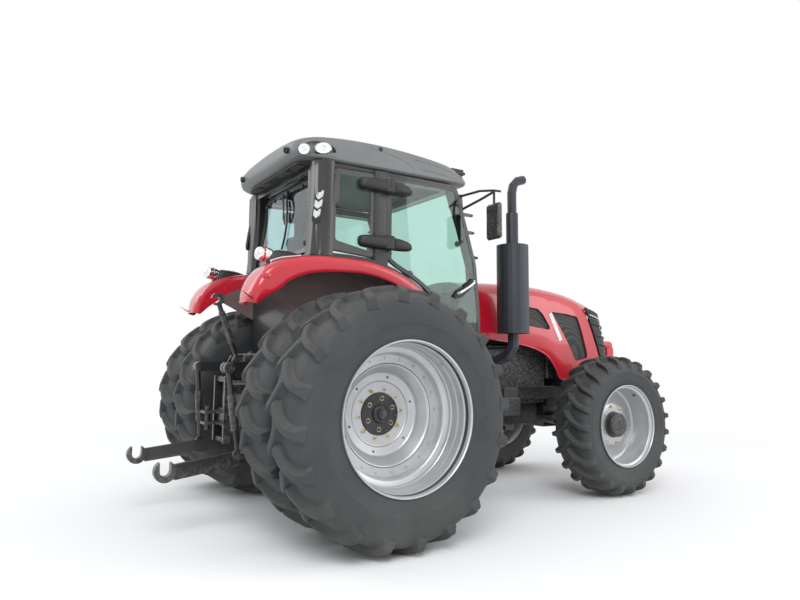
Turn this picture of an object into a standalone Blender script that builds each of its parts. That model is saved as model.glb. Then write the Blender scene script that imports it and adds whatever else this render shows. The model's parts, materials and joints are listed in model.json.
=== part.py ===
"""A farm tractor with a cab and dual rear wheels, in metres: x forward, y left, z up.

Every place is measured from the ground under the rear axle. The empty "tractor" then
carries the whole machine back so that its bounding box is centred over the origin.
"""
import math

import bmesh
import bpy
from mathutils import Matrix, Vector

# ---- driving dimensions ---------------------------------------------------------------
GAP = 0.0003            # what touching pieces leave between them
RUN = 0.006             # running clearance of a moving piece
PIN_GAP = 0.0008        # the same at a pin, a swivel or a shaft's end
STEPS = 20              # sides of a wheel

WHEELBASE = 2.856
REAR_R = 0.884          # rear wheel over its lugs
REAR_TYRE_W = 0.440
REAR_INNER_Y = 0.862    # middle of the inner rear tyre
REAR_OUTER_Y = 1.412    # middle of the outer rear tyre
REAR_RIM_R = 0.508      # over the rim's flange
REAR_RIM_W = 0.410
REAR_DISH = 0.4075      # how deep the outer disc lies behind the outer flange
FRONT_R = 0.660
FRONT_TYRE_W = 0.410
FRONT_Y = 0.889
FRONT_RIM_R = 0.384
FRONT_RIM_W = 0.396
RIM_DEPTH = 0.028       # flange height over the bead seat
RIM_T = 0.010
KINGPIN_Y = 0.700

HOUSING_END = 0.600      # where the rear axle housing ends and its bar begins
YOKE_HALF = 0.150        # half the height between the two arms of a front axle's yoke
YOKE_ARM = 0.040

FRAME_HALF = 0.250       # half the width between the front frame's rails
RAIL_T = 0.045
FRAME_Z = 0.800          # underside of the front frame over the axle
FRAME_TOP = 1.000
ENGINE_FRONT = 2.620     # where the engine ends and the frame's bolster begins
FRAME_FRONT = WHEELBASE + 0.704
BELLY_Z = 0.600
FLOOR_Z = 1.240         # underside of the cab floor

FENDER_R = 1.157        # top of the fender, about the rear axle
FENDER_LIP_R = 1.040
FENDER_IN = 0.5553
FENDER_OUT = 0.850
FENDER_T = 0.012
FENDER_FRONT_DEG = 27   # where its arch ends in front, above the level of the axle
ARCH_STEPS = 9
# behind the arch: the fender's top edge and the lower edge of its lips, as (x, z)
FENDER_TAIL = [(-0.300, 2.036), (-0.520, 2.003), (-0.700, 1.925), (-0.800, 1.790), (-0.835, 1.645)]
LIP_TAIL = [(-0.620, 1.740), (-0.420, 1.830), (-0.210, 1.902)]

CAB_HALF = 0.750        # outer face of the doors and posts
CAB_IN = 0.555          # outer face of the cab between the fenders
CAB_REAR = -0.290
CAB_FRONT = 1.330
CAB_TOP = 2.800
PANEL_T = 0.035
GLASS_T = 0.012
BELT_Z = 2.041          # where the fender's flat top meets the cab
POST_T = 0.055
POST_IN = 0.650
POST_OUT = CAB_HALF - PANEL_T - 0.005   # outer face of the posts behind the doors
A_POST = [(1.300, FLOOR_Z + 0.010), (1.300, 1.640), (1.255, 2.100), (1.150, 2.430), (1.020, 2.770)]
B_POST = (0.240, 0.350)
C_POST = (-0.290, -0.160)
# the windscreen's plan: distance from the middle, and how far it stands ahead of its edges
SCREEN_PLAN = [(-0.675, 0.0), (-0.450, 0.034), (-0.225, 0.054), (0.0, 0.060)]
SCREEN_PLAN += [(-y, bulge) for y, bulge in SCREEN_PLAN[-2::-1]]

DOOR_REAR = B_POST[1] + RUN
DOOR_R = FENDER_R + 0.040
DOOR_LOW = 1.400
DOOR_TOP = 2.780
DOOR_FRONT = [(1.325, DOOR_LOW), (1.325, 1.640), (1.280, 2.105), (1.175, 2.440), (1.060, DOOR_TOP)]
DOOR_BORDER = 0.060
HINGE_Y = CAB_HALF + 0.014
DOOR_HINGE_X = B_POST[1] - 0.004

COLUMN_TOP = Vector((0.900, 0.0, 1.960))   # where the steering wheel's hub sits
COLUMN_LOW = Vector((1.120, 0.0, 1.600))
MIRROR_X = 1.250

ROOF_REAR = -0.440
ROOF_FRONT = 1.300
ROOF_HALF = 0.740
ROOF_EDGE_Z = 3.050
ROOF_CROWN_Z = 3.130

HOOD_REAR = 1.420
HOOD_HALF = 0.430
HOOD_T = 0.025
NOSE_X = 3.640
HOOD_HINGE = (1.450, 0.0, 1.968)
HINGE_LUG_R = 0.0317

MUFFLER_X = 1.814
MUFFLER_Y = -0.639
MUFFLER_R = 0.149
MUFFLER_LOW = 1.517
MUFFLER_HIGH = 2.348

HOOK_X = -1.273         # lower link hook centre
HOOK_Y = 0.470
HOOK_Z = 0.482
LINK_PIVOT = (-0.180, 0.270, 0.600)
LINK_CHEEK = 0.305      # outer face of the bracket that carries a lower link
ROCK_X = -0.420         # rockshaft that carries the lift arms
ROCK_Z = 1.200
ROCK_R = 0.045
ARM_LENGTH = 0.400
TOP_LINK_PIVOT = (-0.620, 0.0, 1.245)
TOP_LINK_END = (-0.800, 0.0, 1.735)

HOOK_R = 0.075          # outer radius of a lower link's claw
REAR_END = HOOK_X - HOOK_R
WEIGHT_FRONT = FRAME_FRONT + 0.380   # foremost face of the front weight
MIDDLE_X = (WEIGHT_FRONT + REAR_END) / 2

# material: colour, roughness, metallic
FINISHES = {
    "red_paint": ((0.55, 0.012, 0.030), 0.30, 0.0),
    "grey_plastic": ((0.150, 0.160, 0.160), 0.60, 0.0),
    "black_frame": ((0.020, 0.021, 0.022), 0.50, 0.2),
    "glass": ((0.350, 0.520, 0.500), 0.08, 0.0),
    "tyre": ((0.018, 0.020, 0.024), 0.80, 0.0),
    "silver_rim": ((0.480, 0.490, 0.500), 0.35, 0.8),
    "cast_black": ((0.022, 0.023, 0.025), 0.55, 0.3),
    "dark_blue_steel": ((0.045, 0.052, 0.065), 0.40, 0.5),
    "engine_grey": ((0.060, 0.060, 0.062), 0.60, 0.4),
    "seat_fabric": ((0.030, 0.030, 0.032), 0.90, 0.0),
    "lamp": ((0.700, 0.710, 0.720), 0.15, 0.3),
}

SIDES = (("right", -1), ("left", 1))


# ---- scene and tools ------------------------------------------------------------------
def clear_scene():
    for obj in list(bpy.data.objects):
        bpy.data.objects.remove(obj, do_unlink=True)


def collection(name):
    made = bpy.data.collections.new(name)
    bpy.context.scene.collection.children.link(made)
    return made


def make_material(name):
    colour, roughness, metallic = FINISHES[name]
    material = bpy.data.materials.new(name)
    material.use_nodes = True
    shader = material.node_tree.nodes["Principled BSDF"]
    shader.inputs["Base Color"].default_value = (*colour, 1.0)
    shader.inputs["Roughness"].default_value = roughness
    shader.inputs["Metallic"].default_value = metallic
    return material


def as_object(mesh_or_curve, name="piece"):
    obj = bpy.data.objects.new(name, mesh_or_curve)
    PARTS.objects.link(obj)
    return obj


def from_bmesh(bm):
    bmesh.ops.recalc_face_normals(bm, faces=bm.faces)
    mesh = bpy.data.meshes.new("piece")
    bm.to_mesh(mesh)
    bm.free()
    return as_object(mesh)


def baked(obj):
    """The object as evaluated, as one plain mesh in world axes with its caps welded."""
    bpy.context.view_layer.update()
    graph = bpy.context.evaluated_depsgraph_get()
    mesh = bpy.data.meshes.new_from_object(obj.evaluated_get(graph))
    mesh.transform(obj.matrix_world)
    bm = bmesh.new()
    bm.from_mesh(mesh)
    bmesh.ops.remove_doubles(bm, verts=bm.verts, dist=0.00001)
    bmesh.ops.recalc_face_normals(bm, faces=bm.faces)
    bm.to_mesh(mesh)
    bm.free()
    bpy.data.objects.remove(obj)
    return as_object(mesh)


def box(x, y, z):
    """A box from three (low, high) pairs."""
    bm = bmesh.new()
    centre = Vector([(low + high) / 2 for low, high in (x, y, z)])
    size = [high - low for low, high in (x, y, z)]
    bmesh.ops.create_cube(bm, size=1, matrix=Matrix.Translation(centre) @ Matrix.Diagonal((*size, 1)))
    return from_bmesh(bm)


def mirrored_y(low, high, side):
    """The (low, high) pair of y between two distances from the middle, on one side."""
    return (low, high) if side > 0 else (-high, -low)


def rod(start, end, radius, end_radius=None, sides=10):
    """A round bar or cone between two points."""
    start, end = Vector(start), Vector(end)
    along = end - start
    turn = along.to_track_quat("Z", "Y").to_matrix().to_4x4()
    bm = bmesh.new()
    bmesh.ops.create_cone(
        bm,
        cap_ends=True,
        segments=sides,
        radius1=radius,
        radius2=radius if end_radius is None else end_radius,
        depth=along.length,
        matrix=Matrix.Translation((start + end) / 2) @ turn,
    )
    return from_bmesh(bm)


def bar(start, end, width, height):
    """A flat bar between two points: width across y, height across the bar upwards."""
    start, end = Vector(start), Vector(end)
    along = end - start
    turn = along.to_track_quat("X", "Z").to_matrix().to_4x4()
    size = Matrix.Diagonal((along.length, width, height, 1))
    bm = bmesh.new()
    bmesh.ops.create_cube(bm, size=1, matrix=Matrix.Translation((start + end) / 2) @ turn @ size)
    return from_bmesh(bm)


def tube(points, radius, resolution=1):
    """A bent round tube through the points."""
    curve = bpy.data.curves.new("tube", "CURVE")
    curve.dimensions = "3D"
    curve.bevel_depth = radius
    curve.bevel_resolution = resolution
    curve.use_fill_caps = True
    spline = curve.splines.new("POLY")
    spline.points.add(len(points) - 1)
    for point, place in zip(spline.points, points):
        point.co = (*place, 1)
    return baked(as_object(curve))


def plate(outline, y_low, y_high):
    """A flat outline of (x, z) points, standing between two values of y."""
    curve = bpy.data.curves.new("plate", "CURVE")
    curve.dimensions = "2D"
    curve.fill_mode = "BOTH"
    curve.extrude = (y_high - y_low) / 2
    spline = curve.splines.new("POLY")
    spline.points.add(len(outline) - 1)
    for point, (x, z) in zip(spline.points, outline):
        point.co = (x, z, 0, 1)
    spline.use_cyclic_u = True
    obj = as_object(curve)
    obj.rotation_euler = (math.pi / 2, 0, 0)
    obj.location = (0, (y_low + y_high) / 2, 0)
    return baked(obj)


def slab(outline, z_low, z_high):
    """A flat outline of (x, y) points, lying between two heights."""
    curve = bpy.data.curves.new("slab", "CURVE")
    curve.dimensions = "2D"
    curve.fill_mode = "BOTH"
    curve.extrude = (z_high - z_low) / 2
    spline = curve.splines.new("POLY")
    spline.points.add(len(outline) - 1)
    for point, (x, y) in zip(spline.points, outline):
        point.co = (x, y, 0, 1)
    spline.use_cyclic_u = True
    obj = as_object(curve)
    obj.location = (0, 0, (z_low + z_high) / 2)
    return baked(obj)


def turned(profile, centre, side, steps=STEPS, closed=True):
    """A ring or a round piece about a crosswise axle, flat side down.

    The profile's points are (radius, distance outwards from the centre); it runs from the
    outer end inwards down its outer side. side is +1 on the left and -1 on the right.
    """
    mesh = bpy.data.meshes.new("profile")
    grow = 1 / math.cos(math.pi / steps)
    points = [(radius * grow, 0, out) for radius, out in profile]
    edges = [(i, i + 1) for i in range(len(points) - 1)]
    if closed:
        edges.append((len(points) - 1, 0))
    mesh.from_pydata(points, edges, [])
    obj = as_object(mesh)
    screw = obj.modifiers.new("turn", "SCREW")
    screw.steps = steps
    screw.render_steps = steps
    screw.use_merge_vertices = True
    screw.merge_threshold = 0.0001
    # half a step's turn puts a flat of the wheel, not a corner, on the ground
    level = Matrix.Rotation(math.pi / steps + math.pi / 2, 4, "Z")
    stand = Matrix.Rotation(-side * math.pi / 2, 4, "X")
    obj.matrix_world = Matrix.Translation(centre) @ stand @ level
    return baked(obj)


def combine(base, others, operation):
    for other in others:
        modifier = base.modifiers.new("combine", "BOOLEAN")
        modifier.operation = operation
        modifier.solver = "EXACT"
        modifier.object = other
        base = baked(base)
        bpy.data.objects.remove(other)
    return base


def union(*pieces):
    return combine(pieces[0], pieces[1:], "UNION")


def cut(base, *cutters):
    return combine(base, cutters, "DIFFERENCE")


def softened(obj, width, segments=2, angle=30):
    """The piece with its edges rounded."""
    bevel = obj.modifiers.new("edges", "BEVEL")
    bevel.width = width
    bevel.segments = segments
    bevel.limit_method = "ANGLE"
    bevel.angle_limit = math.radians(angle)
    return baked(obj)


def thickened(obj, thickness, towards):
    """A shell from an open surface, grown to the side that the vector points to."""
    facing = sum((polygon.normal * polygon.area for polygon in obj.data.polygons), Vector())
    shell = obj.modifiers.new("shell", "SOLIDIFY")
    shell.thickness = thickness
    shell.offset = 1 if facing.dot(towards) > 0 else -1
    shell.use_even_offset = True
    return baked(obj)


def grid_surface(rows):
    """An open surface through rows of points, each row as long as the next."""
    bm = bmesh.new()
    verts = [[bm.verts.new(place) for place in row] for row in rows]
    for first, second in zip(verts, verts[1:]):
        for i in range(len(first) - 1):
            bm.faces.new((first[i], first[i + 1], second[i + 1], second[i]))
    return from_bmesh(bm)


def body(name, place=(0, 0, 0), parent=None):
    """An empty on a moving group's joint axis."""
    empty = bpy.data.objects.new(name + "_pivot", None)
    PARTS.objects.link(empty)
    offset = Vector(place)
    if parent is not None:
        empty.parent = parent
        offset -= PIVOTS[parent.name]
    PIVOTS[empty.name] = Vector(place)
    empty.location = offset
    return empty


def node(name, obj, material, carrier=None):
    """Names a finished piece and hangs it on its body, its origin on the body's pivot."""
    carrier = carrier or TRACTOR
    obj.name = name
    obj.data.name = name
    obj.data.transform(Matrix.Translation(-PIVOTS[carrier.name]))
    obj.parent = carrier
    obj.data.materials.clear()
    obj.data.materials.append(MATERIALS[material])
    for polygon in obj.data.polygons:
        polygon.use_smooth = True
    obj.data.set_sharp_from_angle(angle=math.radians(30))
    return obj


def arc(radius, start_deg, end_deg, steps, centre=(0.0, REAR_R)):
    """Points of an arc about the rear axle, as (x, z); 0 degrees points forward."""
    found = []
    for i in range(steps + 1):
        angle = math.radians(start_deg + (end_deg - start_deg) * i / steps)
        found.append((centre[0] + radius * math.cos(angle), centre[1] + radius * math.sin(angle)))
    return found


# ---- wheels ---------------------------------------------------------------------------
def tyre_ring(radius, rim_radius, width, rim_width, centre, side):
    """A tyre as a solid ring whose beads sit inside the rim's flanges."""
    half = width / 2
    seat = rim_radius - RIM_DEPTH + GAP
    bead = rim_width / 2 - RIM_T - 0.001
    toe = rim_width / 2 - 2.2 * RIM_T - 0.001
    bulge = (radius + rim_radius) / 2
    profile = [
        (radius, half * 0.62),
        (radius, -half * 0.62),
        (radius - 0.028, -half * 0.86),
        (bulge, -half),
        (rim_radius + 0.004, -bead),
        (seat, -toe),
        (seat, toe),
        (rim_radius + 0.004, bead),
        (bulge, half),
        (radius - 0.028, half * 0.86),
    ]
    return turned(profile[::-1], centre, side)


def rim_section(rim_radius, width, out):
    """The barrel's section from its outer flange inwards, tyre side then bore side."""
    half = width / 2
    seat = rim_radius - RIM_DEPTH
    tyre_side = [
        (rim_radius, out + half),
        (rim_radius, out + half - RIM_T),
        (seat, out + half - 2.2 * RIM_T),
        (seat, out - half + 2.2 * RIM_T),
        (rim_radius, out - half + RIM_T),
        (rim_radius, out - half),
    ]
    bore_side = [
        (rim_radius - RIM_T, out - half),
        (seat - RIM_T, out - half + 2.2 * RIM_T),
        (seat - RIM_T, out + half - 2.2 * RIM_T),
        (rim_radius - RIM_T, out + half),
    ]
    return tyre_side, bore_side


def rear_rims(side):
    """Both rims of one side with their discs, on the axle bar that carries them."""
    outer, outer_bore = rim_section(REAR_RIM_R, REAR_RIM_W, REAR_OUTER_Y)
    inner, inner_bore = rim_section(REAR_RIM_R, REAR_RIM_W, REAR_INNER_Y)
    outer_disc = REAR_OUTER_Y + REAR_RIM_W / 2 - REAR_DISH
    inner_disc = REAR_INNER_Y - 0.110
    disc_t = 0.016
    bore = REAR_RIM_R - RIM_DEPTH - RIM_T
    bar_r = 0.060
    profile = (
        [(0.0, outer_disc + 0.075), (0.055, outer_disc + 0.075), (0.060, outer_disc + 0.030)]
        + [(0.175, outer_disc + 0.026), (0.180, outer_disc)]
        + [(bore, outer_disc + 0.012)]
        + [outer_bore[2], outer_bore[3]]
        + outer
        + [outer_bore[0], (bore, outer_disc + 0.012 - disc_t)]
        + [(0.180, outer_disc - disc_t), (0.150, outer_disc - 0.060), (bar_r, outer_disc - 0.070)]
        + [(bar_r, inner_disc + 0.070), (0.150, inner_disc + 0.050), (0.180, inner_disc)]
        + [(bore, inner_disc + 0.012), inner_bore[2], inner_bore[3]]
        + inner
        + [inner_bore[0], inner_bore[1], (bore, inner_disc + 0.012 - disc_t)]
        + [(0.180, inner_disc - disc_t), (0.150, inner_disc - 0.030), (bar_r, inner_disc - 0.040)]
        + [(bar_r, HOUSING_END + PIN_GAP), (0.0, HOUSING_END + PIN_GAP)]
    )
    return turned(drop_doubled(profile), (0, 0, REAR_R), side, closed=False)


def drop_doubled(profile, least=0.004):
    """The profile without points closer together than the least distance."""
    kept = [profile[0]]
    for point in profile[1:]:
        if math.dist(point, kept[-1]) > least:
            kept.append(point)
    return kept


def front_rim(side):
    barrel, bore_side = rim_section(FRONT_RIM_R, FRONT_RIM_W, 0.0)
    disc = 0.030
    disc_t = 0.014
    bore = FRONT_RIM_R - RIM_DEPTH - RIM_T
    cap = FRONT_RIM_W / 2 - 0.104
    profile = (
        [(0.0, cap), (0.100, cap), (0.112, cap - 0.012), (0.116, disc + 0.020)]
        + [(0.150, disc + 0.016), (0.160, disc), (bore, disc + 0.010), bore_side[2], bore_side[3]]
        + barrel
        + [bore_side[0], bore_side[1], (bore, disc + 0.010 - disc_t)]
        + [(0.160, disc - disc_t), (0.150, disc - 0.020), (0.0, disc - 0.020)]
    )
    return turned(profile, (WHEELBASE, side * FRONT_Y, FRONT_R), side, closed=False)


def make_wheels():
    for name, side in SIDES:
        hub = body(f"rear_wheels_{name}", (0, side * REAR_INNER_Y, REAR_R), TRACTOR)
        node(f"rear_rims_{name}", rear_rims(side), "silver_rim", hub)
        for place, y in (("inner", REAR_INNER_Y), ("outer", REAR_OUTER_Y)):
            ring = tyre_ring(REAR_R, REAR_RIM_R, REAR_TYRE_W, REAR_RIM_W, (0, side * y, REAR_R), side)
            node(f"rear_tyre_{place}_{name}", ring, "tyre", hub)
        knuckle = body(f"knuckle_{name}", (WHEELBASE, side * KINGPIN_Y, FRONT_R), TRACTOR)
        node(f"steering_knuckle_{name}", steering_knuckle(side), "cast_black", knuckle)
        hub = body(f"front_wheel_{name}", (WHEELBASE, side * FRONT_Y, FRONT_R), knuckle)
        node(f"front_rim_{name}", front_rim(side), "silver_rim", hub)
        centre = (WHEELBASE, side * FRONT_Y, FRONT_R)
        ring = tyre_ring(FRONT_R, FRONT_RIM_R, FRONT_TYRE_W, FRONT_RIM_W, centre, side)
        node(f"front_tyre_{name}", ring, "tyre", hub)


def steering_knuckle(side):
    """The swivel housing between the kingpins, with the final drive drum and its arm."""
    x, z = WHEELBASE, FRONT_R
    drive_end = FRONT_Y + 0.030 - 0.020 - GAP
    drum = rod((x, side * 0.745, z), (x, side * drive_end, z), 0.140, sides=12)
    neck = rod(
        (x, side * KINGPIN_Y, z - YOKE_HALF + PIN_GAP),
        (x, side * KINGPIN_Y, z + YOKE_HALF - PIN_GAP),
        0.055,
        sides=12,
    )
    web = box((x - 0.080, x + 0.080), mirrored_y(KINGPIN_Y, 0.800, side), (z - 0.110, z + 0.110))
    reach = box((x - 0.215, x - 0.070), mirrored_y(0.690, 0.735, side), (z - 0.030, z + 0.030))
    return union(neck, web, drum, reach)


# ---- running gear ---------------------------------------------------------------------
def front_axle():
    """The beam with its yokes, the pivot boss over it and the steering cylinder behind."""
    x, z = WHEELBASE, FRONT_R
    pieces = [box((x - 0.075, x + 0.075), (-0.560, 0.560), (z - 0.070, z + 0.070))]
    pieces.append(box((x - 0.150, x + 0.150), (-0.130, 0.130), (z - 0.085, FRAME_Z - GAP)))
    for _, side in SIDES:
        pieces.append(
            box((x - 0.070, x + 0.070), mirrored_y(0.540, 0.615, side), (z - 0.190, z + 0.190))
        )
        for up in (-1, 1):
            low, high = sorted((z + up * YOKE_HALF, z + up * (YOKE_HALF + YOKE_ARM)))
            pieces.append(box((x - 0.060, x + 0.060), mirrored_y(0.600, 0.755, side), (low, high)))
    pieces.append(rod((x - 0.140, -0.300, z), (x - 0.140, 0.300, z), 0.040))
    pieces.append(rod((x - 0.140, -0.420, z), (x - 0.140, 0.420, z), 0.020))
    pieces.append(box((x - 0.150, x - 0.060), (-0.120, 0.120), (z - 0.035, z + 0.035)))
    return union(*pieces)


def front_frame():
    """Two side rails, the cast bolster over the axle and the front carrier."""
    rail_end = FRAME_FRONT - 0.060
    rails = []
    for _, side in SIDES:
        span = mirrored_y(FRAME_HALF + RUN, FRAME_HALF + RAIL_T, side)
        rails.append(box((1.950, rail_end), span, (0.880, FRAME_TOP)))
    half = FRAME_HALF + 0.020
    bolster = box((ENGINE_FRONT, rail_end), (-half, half), (FRAME_Z, FRAME_TOP - 0.020))
    carrier = box((rail_end - 0.020, FRAME_FRONT), (-0.300, 0.300), (0.780, 1.060))
    return union(bolster, carrier, *rails)


def engine():
    """One plain block: sump, crankcase and head."""
    sump = box((1.700, 2.560), (-0.190, 0.190), (0.615, 0.880))
    case = box((1.660, ENGINE_FRONT - GAP), (-FRAME_HALF, FRAME_HALF), (0.840, 1.420))
    head = box((1.690, 2.560), (-0.170, 0.170), (1.400, 1.780))
    return softened(union(sump, case, head), 0.020, 1)


def hood_bulkhead():
    """The upright plate behind the engine with the lug that the hood hinges on."""
    x, _, z = HOOD_HINGE
    wall = box((x - 0.020, x + 0.002), (-0.235, 0.235), (1.1803, z - 0.070))
    neck = box((x - 0.016, x + 0.020), (-0.055, 0.055), (z - 0.090, z))
    lug = rod((x, -0.060, z), (x, 0.060, z), HINGE_LUG_R, sides=20)
    return union(wall, neck, lug)


def radiator():
    core = box((2.780, 3.080), (-0.330, 0.330), (FRAME_TOP + GAP, 1.720))
    shroud = box((2.640, 2.800), (-0.260, 0.260), (1.080, 1.640))
    return softened(union(core, shroud), 0.012, 1)


def gearbox():
    main = box((0.300, 1.6597), (-0.230, 0.230), (BELLY_Z, 1.180))
    flare = box((0.300, 0.720), (-0.270, 0.270), (0.680, FLOOR_Z - GAP))
    return softened(union(main, flare), 0.020, 1)


def rear_axle_housing():
    """The rear casting with its trumpets, lift cylinders' cover and link brackets."""
    casting = box((-0.420, 0.2997), (-0.290, 0.290), (0.560, 1.160))
    pieces = [casting]
    for _, side in SIDES:
        pieces.append(rod((0, side * 0.250, REAR_R), (0, side * 0.470, REAR_R), 0.200, 0.160, 16))
        pieces.append(rod((0, side * 0.450, REAR_R), (0, side * HOUSING_END, REAR_R), 0.185, sides=12))
        # cheek that carries the lower link's ball from both sides
        pieces.append(box((-0.240, -0.120), mirrored_y(0.100, LINK_CHEEK, side), (0.540, 0.660)))
    pieces.append(box((-0.560, CAB_REAR - 0.004), (-0.240, 0.240), (1.060, 1.300)))
    pieces.append(box((-0.600, -0.540), (-0.090, 0.090), (1.090, 1.180)))
    bore = rod((ROCK_X, -0.5, ROCK_Z), (ROCK_X, 0.5, ROCK_Z), ROCK_R + 0.0007, sides=24)
    return cut(softened(union(*pieces), 0.012, 1), bore)


def make_running_gear():
    node("front_axle", front_axle(), "cast_black")
    node("front_frame", front_frame(), "cast_black")
    node("engine", engine(), "engine_grey")
    node("radiator", radiator(), "engine_grey")
    node("hood_bulkhead", hood_bulkhead(), "cast_black")
    node("gearbox", gearbox(), "cast_black")
    node("rear_axle_housing", rear_axle_housing(), "cast_black")
    node("front_weight", front_weight(), "red_paint")
    node("exhaust", exhaust(), "dark_blue_steel")
    node("battery_box", battery_box(), "grey_plastic")


def front_weight():
    """A cast weight on the carrier, with a round towing jaw on top."""
    front = WEIGHT_FRONT
    block = box((FRAME_FRONT + GAP, front - 0.020), (-0.300, 0.300), (0.700, 1.050))
    neck = box((front - 0.135, front - 0.025), (-0.090, 0.090), (1.030, 1.430))
    jaw = rod((front - 0.145, 0, 1.450), (front, 0, 1.450), 0.060, sides=12)
    return softened(union(block, neck, jaw), 0.015, 1)


def exhaust():
    """The upright muffler with its bent stack, and the elbow down to the engine's side."""
    x, y = MUFFLER_X, MUFFLER_Y
    can = rod((x, y, MUFFLER_LOW), (x, y, MUFFLER_HIGH), MUFFLER_R, sides=24)
    sleeve = rod((x, y, MUFFLER_HIGH - 0.010), (x, y, 2.658), 0.058, sides=12)
    stack = tube(
        [(x, y, 2.620), (x, y, 2.860), (x + 0.020, y, 2.935), (x + 0.070, y, 2.985), (x + 0.150, y, 3.010)],
        0.043,
        2,
    )
    elbow = tube(
        [(x, y, 1.530), (x, y, 1.400), (x - 0.020, y + 0.060, 1.310), (x - 0.050, y + 0.180, 1.260)]
        + [(x - 0.060, -0.350, 1.240), (x - 0.060, -FRAME_HALF - GAP, 1.240)],
        0.052,
        2,
    )
    stay = box((x - 0.030, x + 0.030), (y + 0.010, -FRAME_HALF - GAP), (1.372, 1.392))
    return union(can, sleeve, stack, elbow, stay)


def battery_box():
    """The box on the right rail, with a smaller housing on its lid."""
    low = box((1.870, 2.080), (-0.450, -FRAME_HALF - RAIL_T - GAP), (0.740, 0.905))
    top = box((1.880, 2.060), (-0.440, -FRAME_HALF - RAIL_T - GAP), (0.900, 1.005))
    return softened(union(low, top), 0.008, 1)


# ---- cab ------------------------------------------------------------------------------
def sill_top(radius):
    """The line along which cab and fender meet: an arc, then level to the rear."""
    return arc(radius, FENDER_FRONT_DEG, 90, ARCH_STEPS) + [(CAB_REAR, REAR_R + radius)]


def strip(points, width):
    """The outline of a bent strip of one width along a line of (x, z) points."""
    sides = ([], [])
    for i, (x, z) in enumerate(points):
        before, after = points[max(i - 1, 0)], points[min(i + 1, len(points) - 1)]
        along = Vector((after[0] - before[0], after[1] - before[1])).normalized()
        sides[0].append((x + along.y * width / 2, z - along.x * width / 2))
        sides[1].append((x - along.y * width / 2, z + along.x * width / 2))
    return sides[0] + sides[1][::-1]


def cab_frame():
    """Floor, lower walls, arched sills, six posts and the ring under the roof.

    The pieces run a few millimetres into each other, so that no two faces lie in one plane.
    """
    low_r, high_r = FENDER_R + GAP, FENDER_R + 0.033
    step = 0.002
    back = [CAB_REAR + step * i for i in range(5)]
    foot = [FLOOR_Z + step * i for i in range(5)]
    inner = CAB_IN - 0.020
    front = CAB_FRONT
    plan = [(back[3], -inner), (0.980, -inner), (0.980, -POST_OUT + step), (front, -POST_OUT + step)]
    pieces = [slab(plan + [(x, -y) for x, y in plan[::-1]], FLOOR_Z, FLOOR_Z + 0.060)]
    pieces.append(box((CAB_REAR, CAB_REAR + 0.030), (step - CAB_IN, CAB_IN - step), (foot[1], BELT_Z + 0.035)))
    pieces.append(box((front - 0.042, front - step), (-0.690, 0.690), (foot[2], 1.640)))
    post_foot = REAR_R + math.sqrt(low_r**2 - B_POST[0] ** 2) + 0.0015
    wall = [(back[1], foot[3]), (1.050, foot[3])] + sill_top(high_r - 0.010)
    wall[-1] = (back[1], wall[-1][1])
    sill = sill_top(high_r) + sill_top(low_r)[::-1]
    sill = [(max(x, back[2]), z) for x, z in sill]
    for _, side in SIDES:
        pieces.append(plate(wall, *mirrored_y(CAB_IN - 0.025, CAB_IN, side)))
        pieces.append(plate(sill, *mirrored_y(CAB_IN - 0.016, CAB_HALF - 0.001, side)))
        pieces.append(plate(strip(A_POST, POST_T), *mirrored_y(POST_IN, POST_OUT, side)))
        pieces.append(box(B_POST, mirrored_y(POST_IN + 0.006, CAB_HALF, side), (post_foot, CAB_TOP - 0.010)))
        corner = (C_POST[0] + step, C_POST[1])
        pieces.append(box(corner, mirrored_y(0.570, CAB_HALF - 0.003, side), (BELT_Z + 0.012, CAB_TOP - 0.012)))
        rail = mirrored_y(POST_IN + 0.003, POST_OUT - step, side)
        pieces.append(box((back[4], 1.040), rail, (2.740, CAB_TOP)))
    reach = POST_IN + 0.020
    for x in (CAB_REAR + 0.012, 0.976):
        pieces.append(box((x, x + 0.060), (-reach, reach), (2.745, CAB_TOP - 0.002)))
    return union(*pieces)


def windscreen():
    """One curved pane in front of the posts, from the firewall to the roof ring."""
    rows = []
    for x, z in strip(A_POST, POST_T)[1:len(A_POST)]:
        rows.append([(x + GAP + bulge, y, z + 0.002) for y, bulge in SCREEN_PLAN])
    return thickened(grid_surface(rows), GLASS_T, Vector((1, 0, 0)))


def side_window(side):
    """The pane between the rear post and the door post."""
    x = (C_POST[1] + GAP, B_POST[0] - GAP)
    y = mirrored_y(CAB_HALF - 0.030, CAB_HALF - 0.030 + GLASS_T, side)
    return box(x, y, (REAR_R + FENDER_R + 0.0333, 2.740 - GAP))


def rear_window():
    low = BELT_Z + 0.035 + GAP
    return box((CAB_REAR, CAB_REAR + GLASS_T), (-0.570 + GAP, 0.570 - GAP), (low, 2.740 - GAP))


def door_outline(inset=0.0):
    """The door's edge, or that of its window when inset."""
    start = math.degrees(math.asin((DOOR_LOW + inset - REAR_R) / (DOOR_R + inset)))
    end = math.degrees(math.acos((DOOR_REAR + inset) / (DOOR_R + inset)))
    front = [(x - inset, z) for x, z in DOOR_FRONT]
    front[0] = (front[0][0], DOOR_LOW + inset)
    front[-1] = (front[-1][0] - inset * 0.2, DOOR_TOP - inset)
    return arc(DOOR_R + inset, start, end, 7)[::-1] + front + [(DOOR_REAR + inset, DOOR_TOP - inset)]


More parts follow.
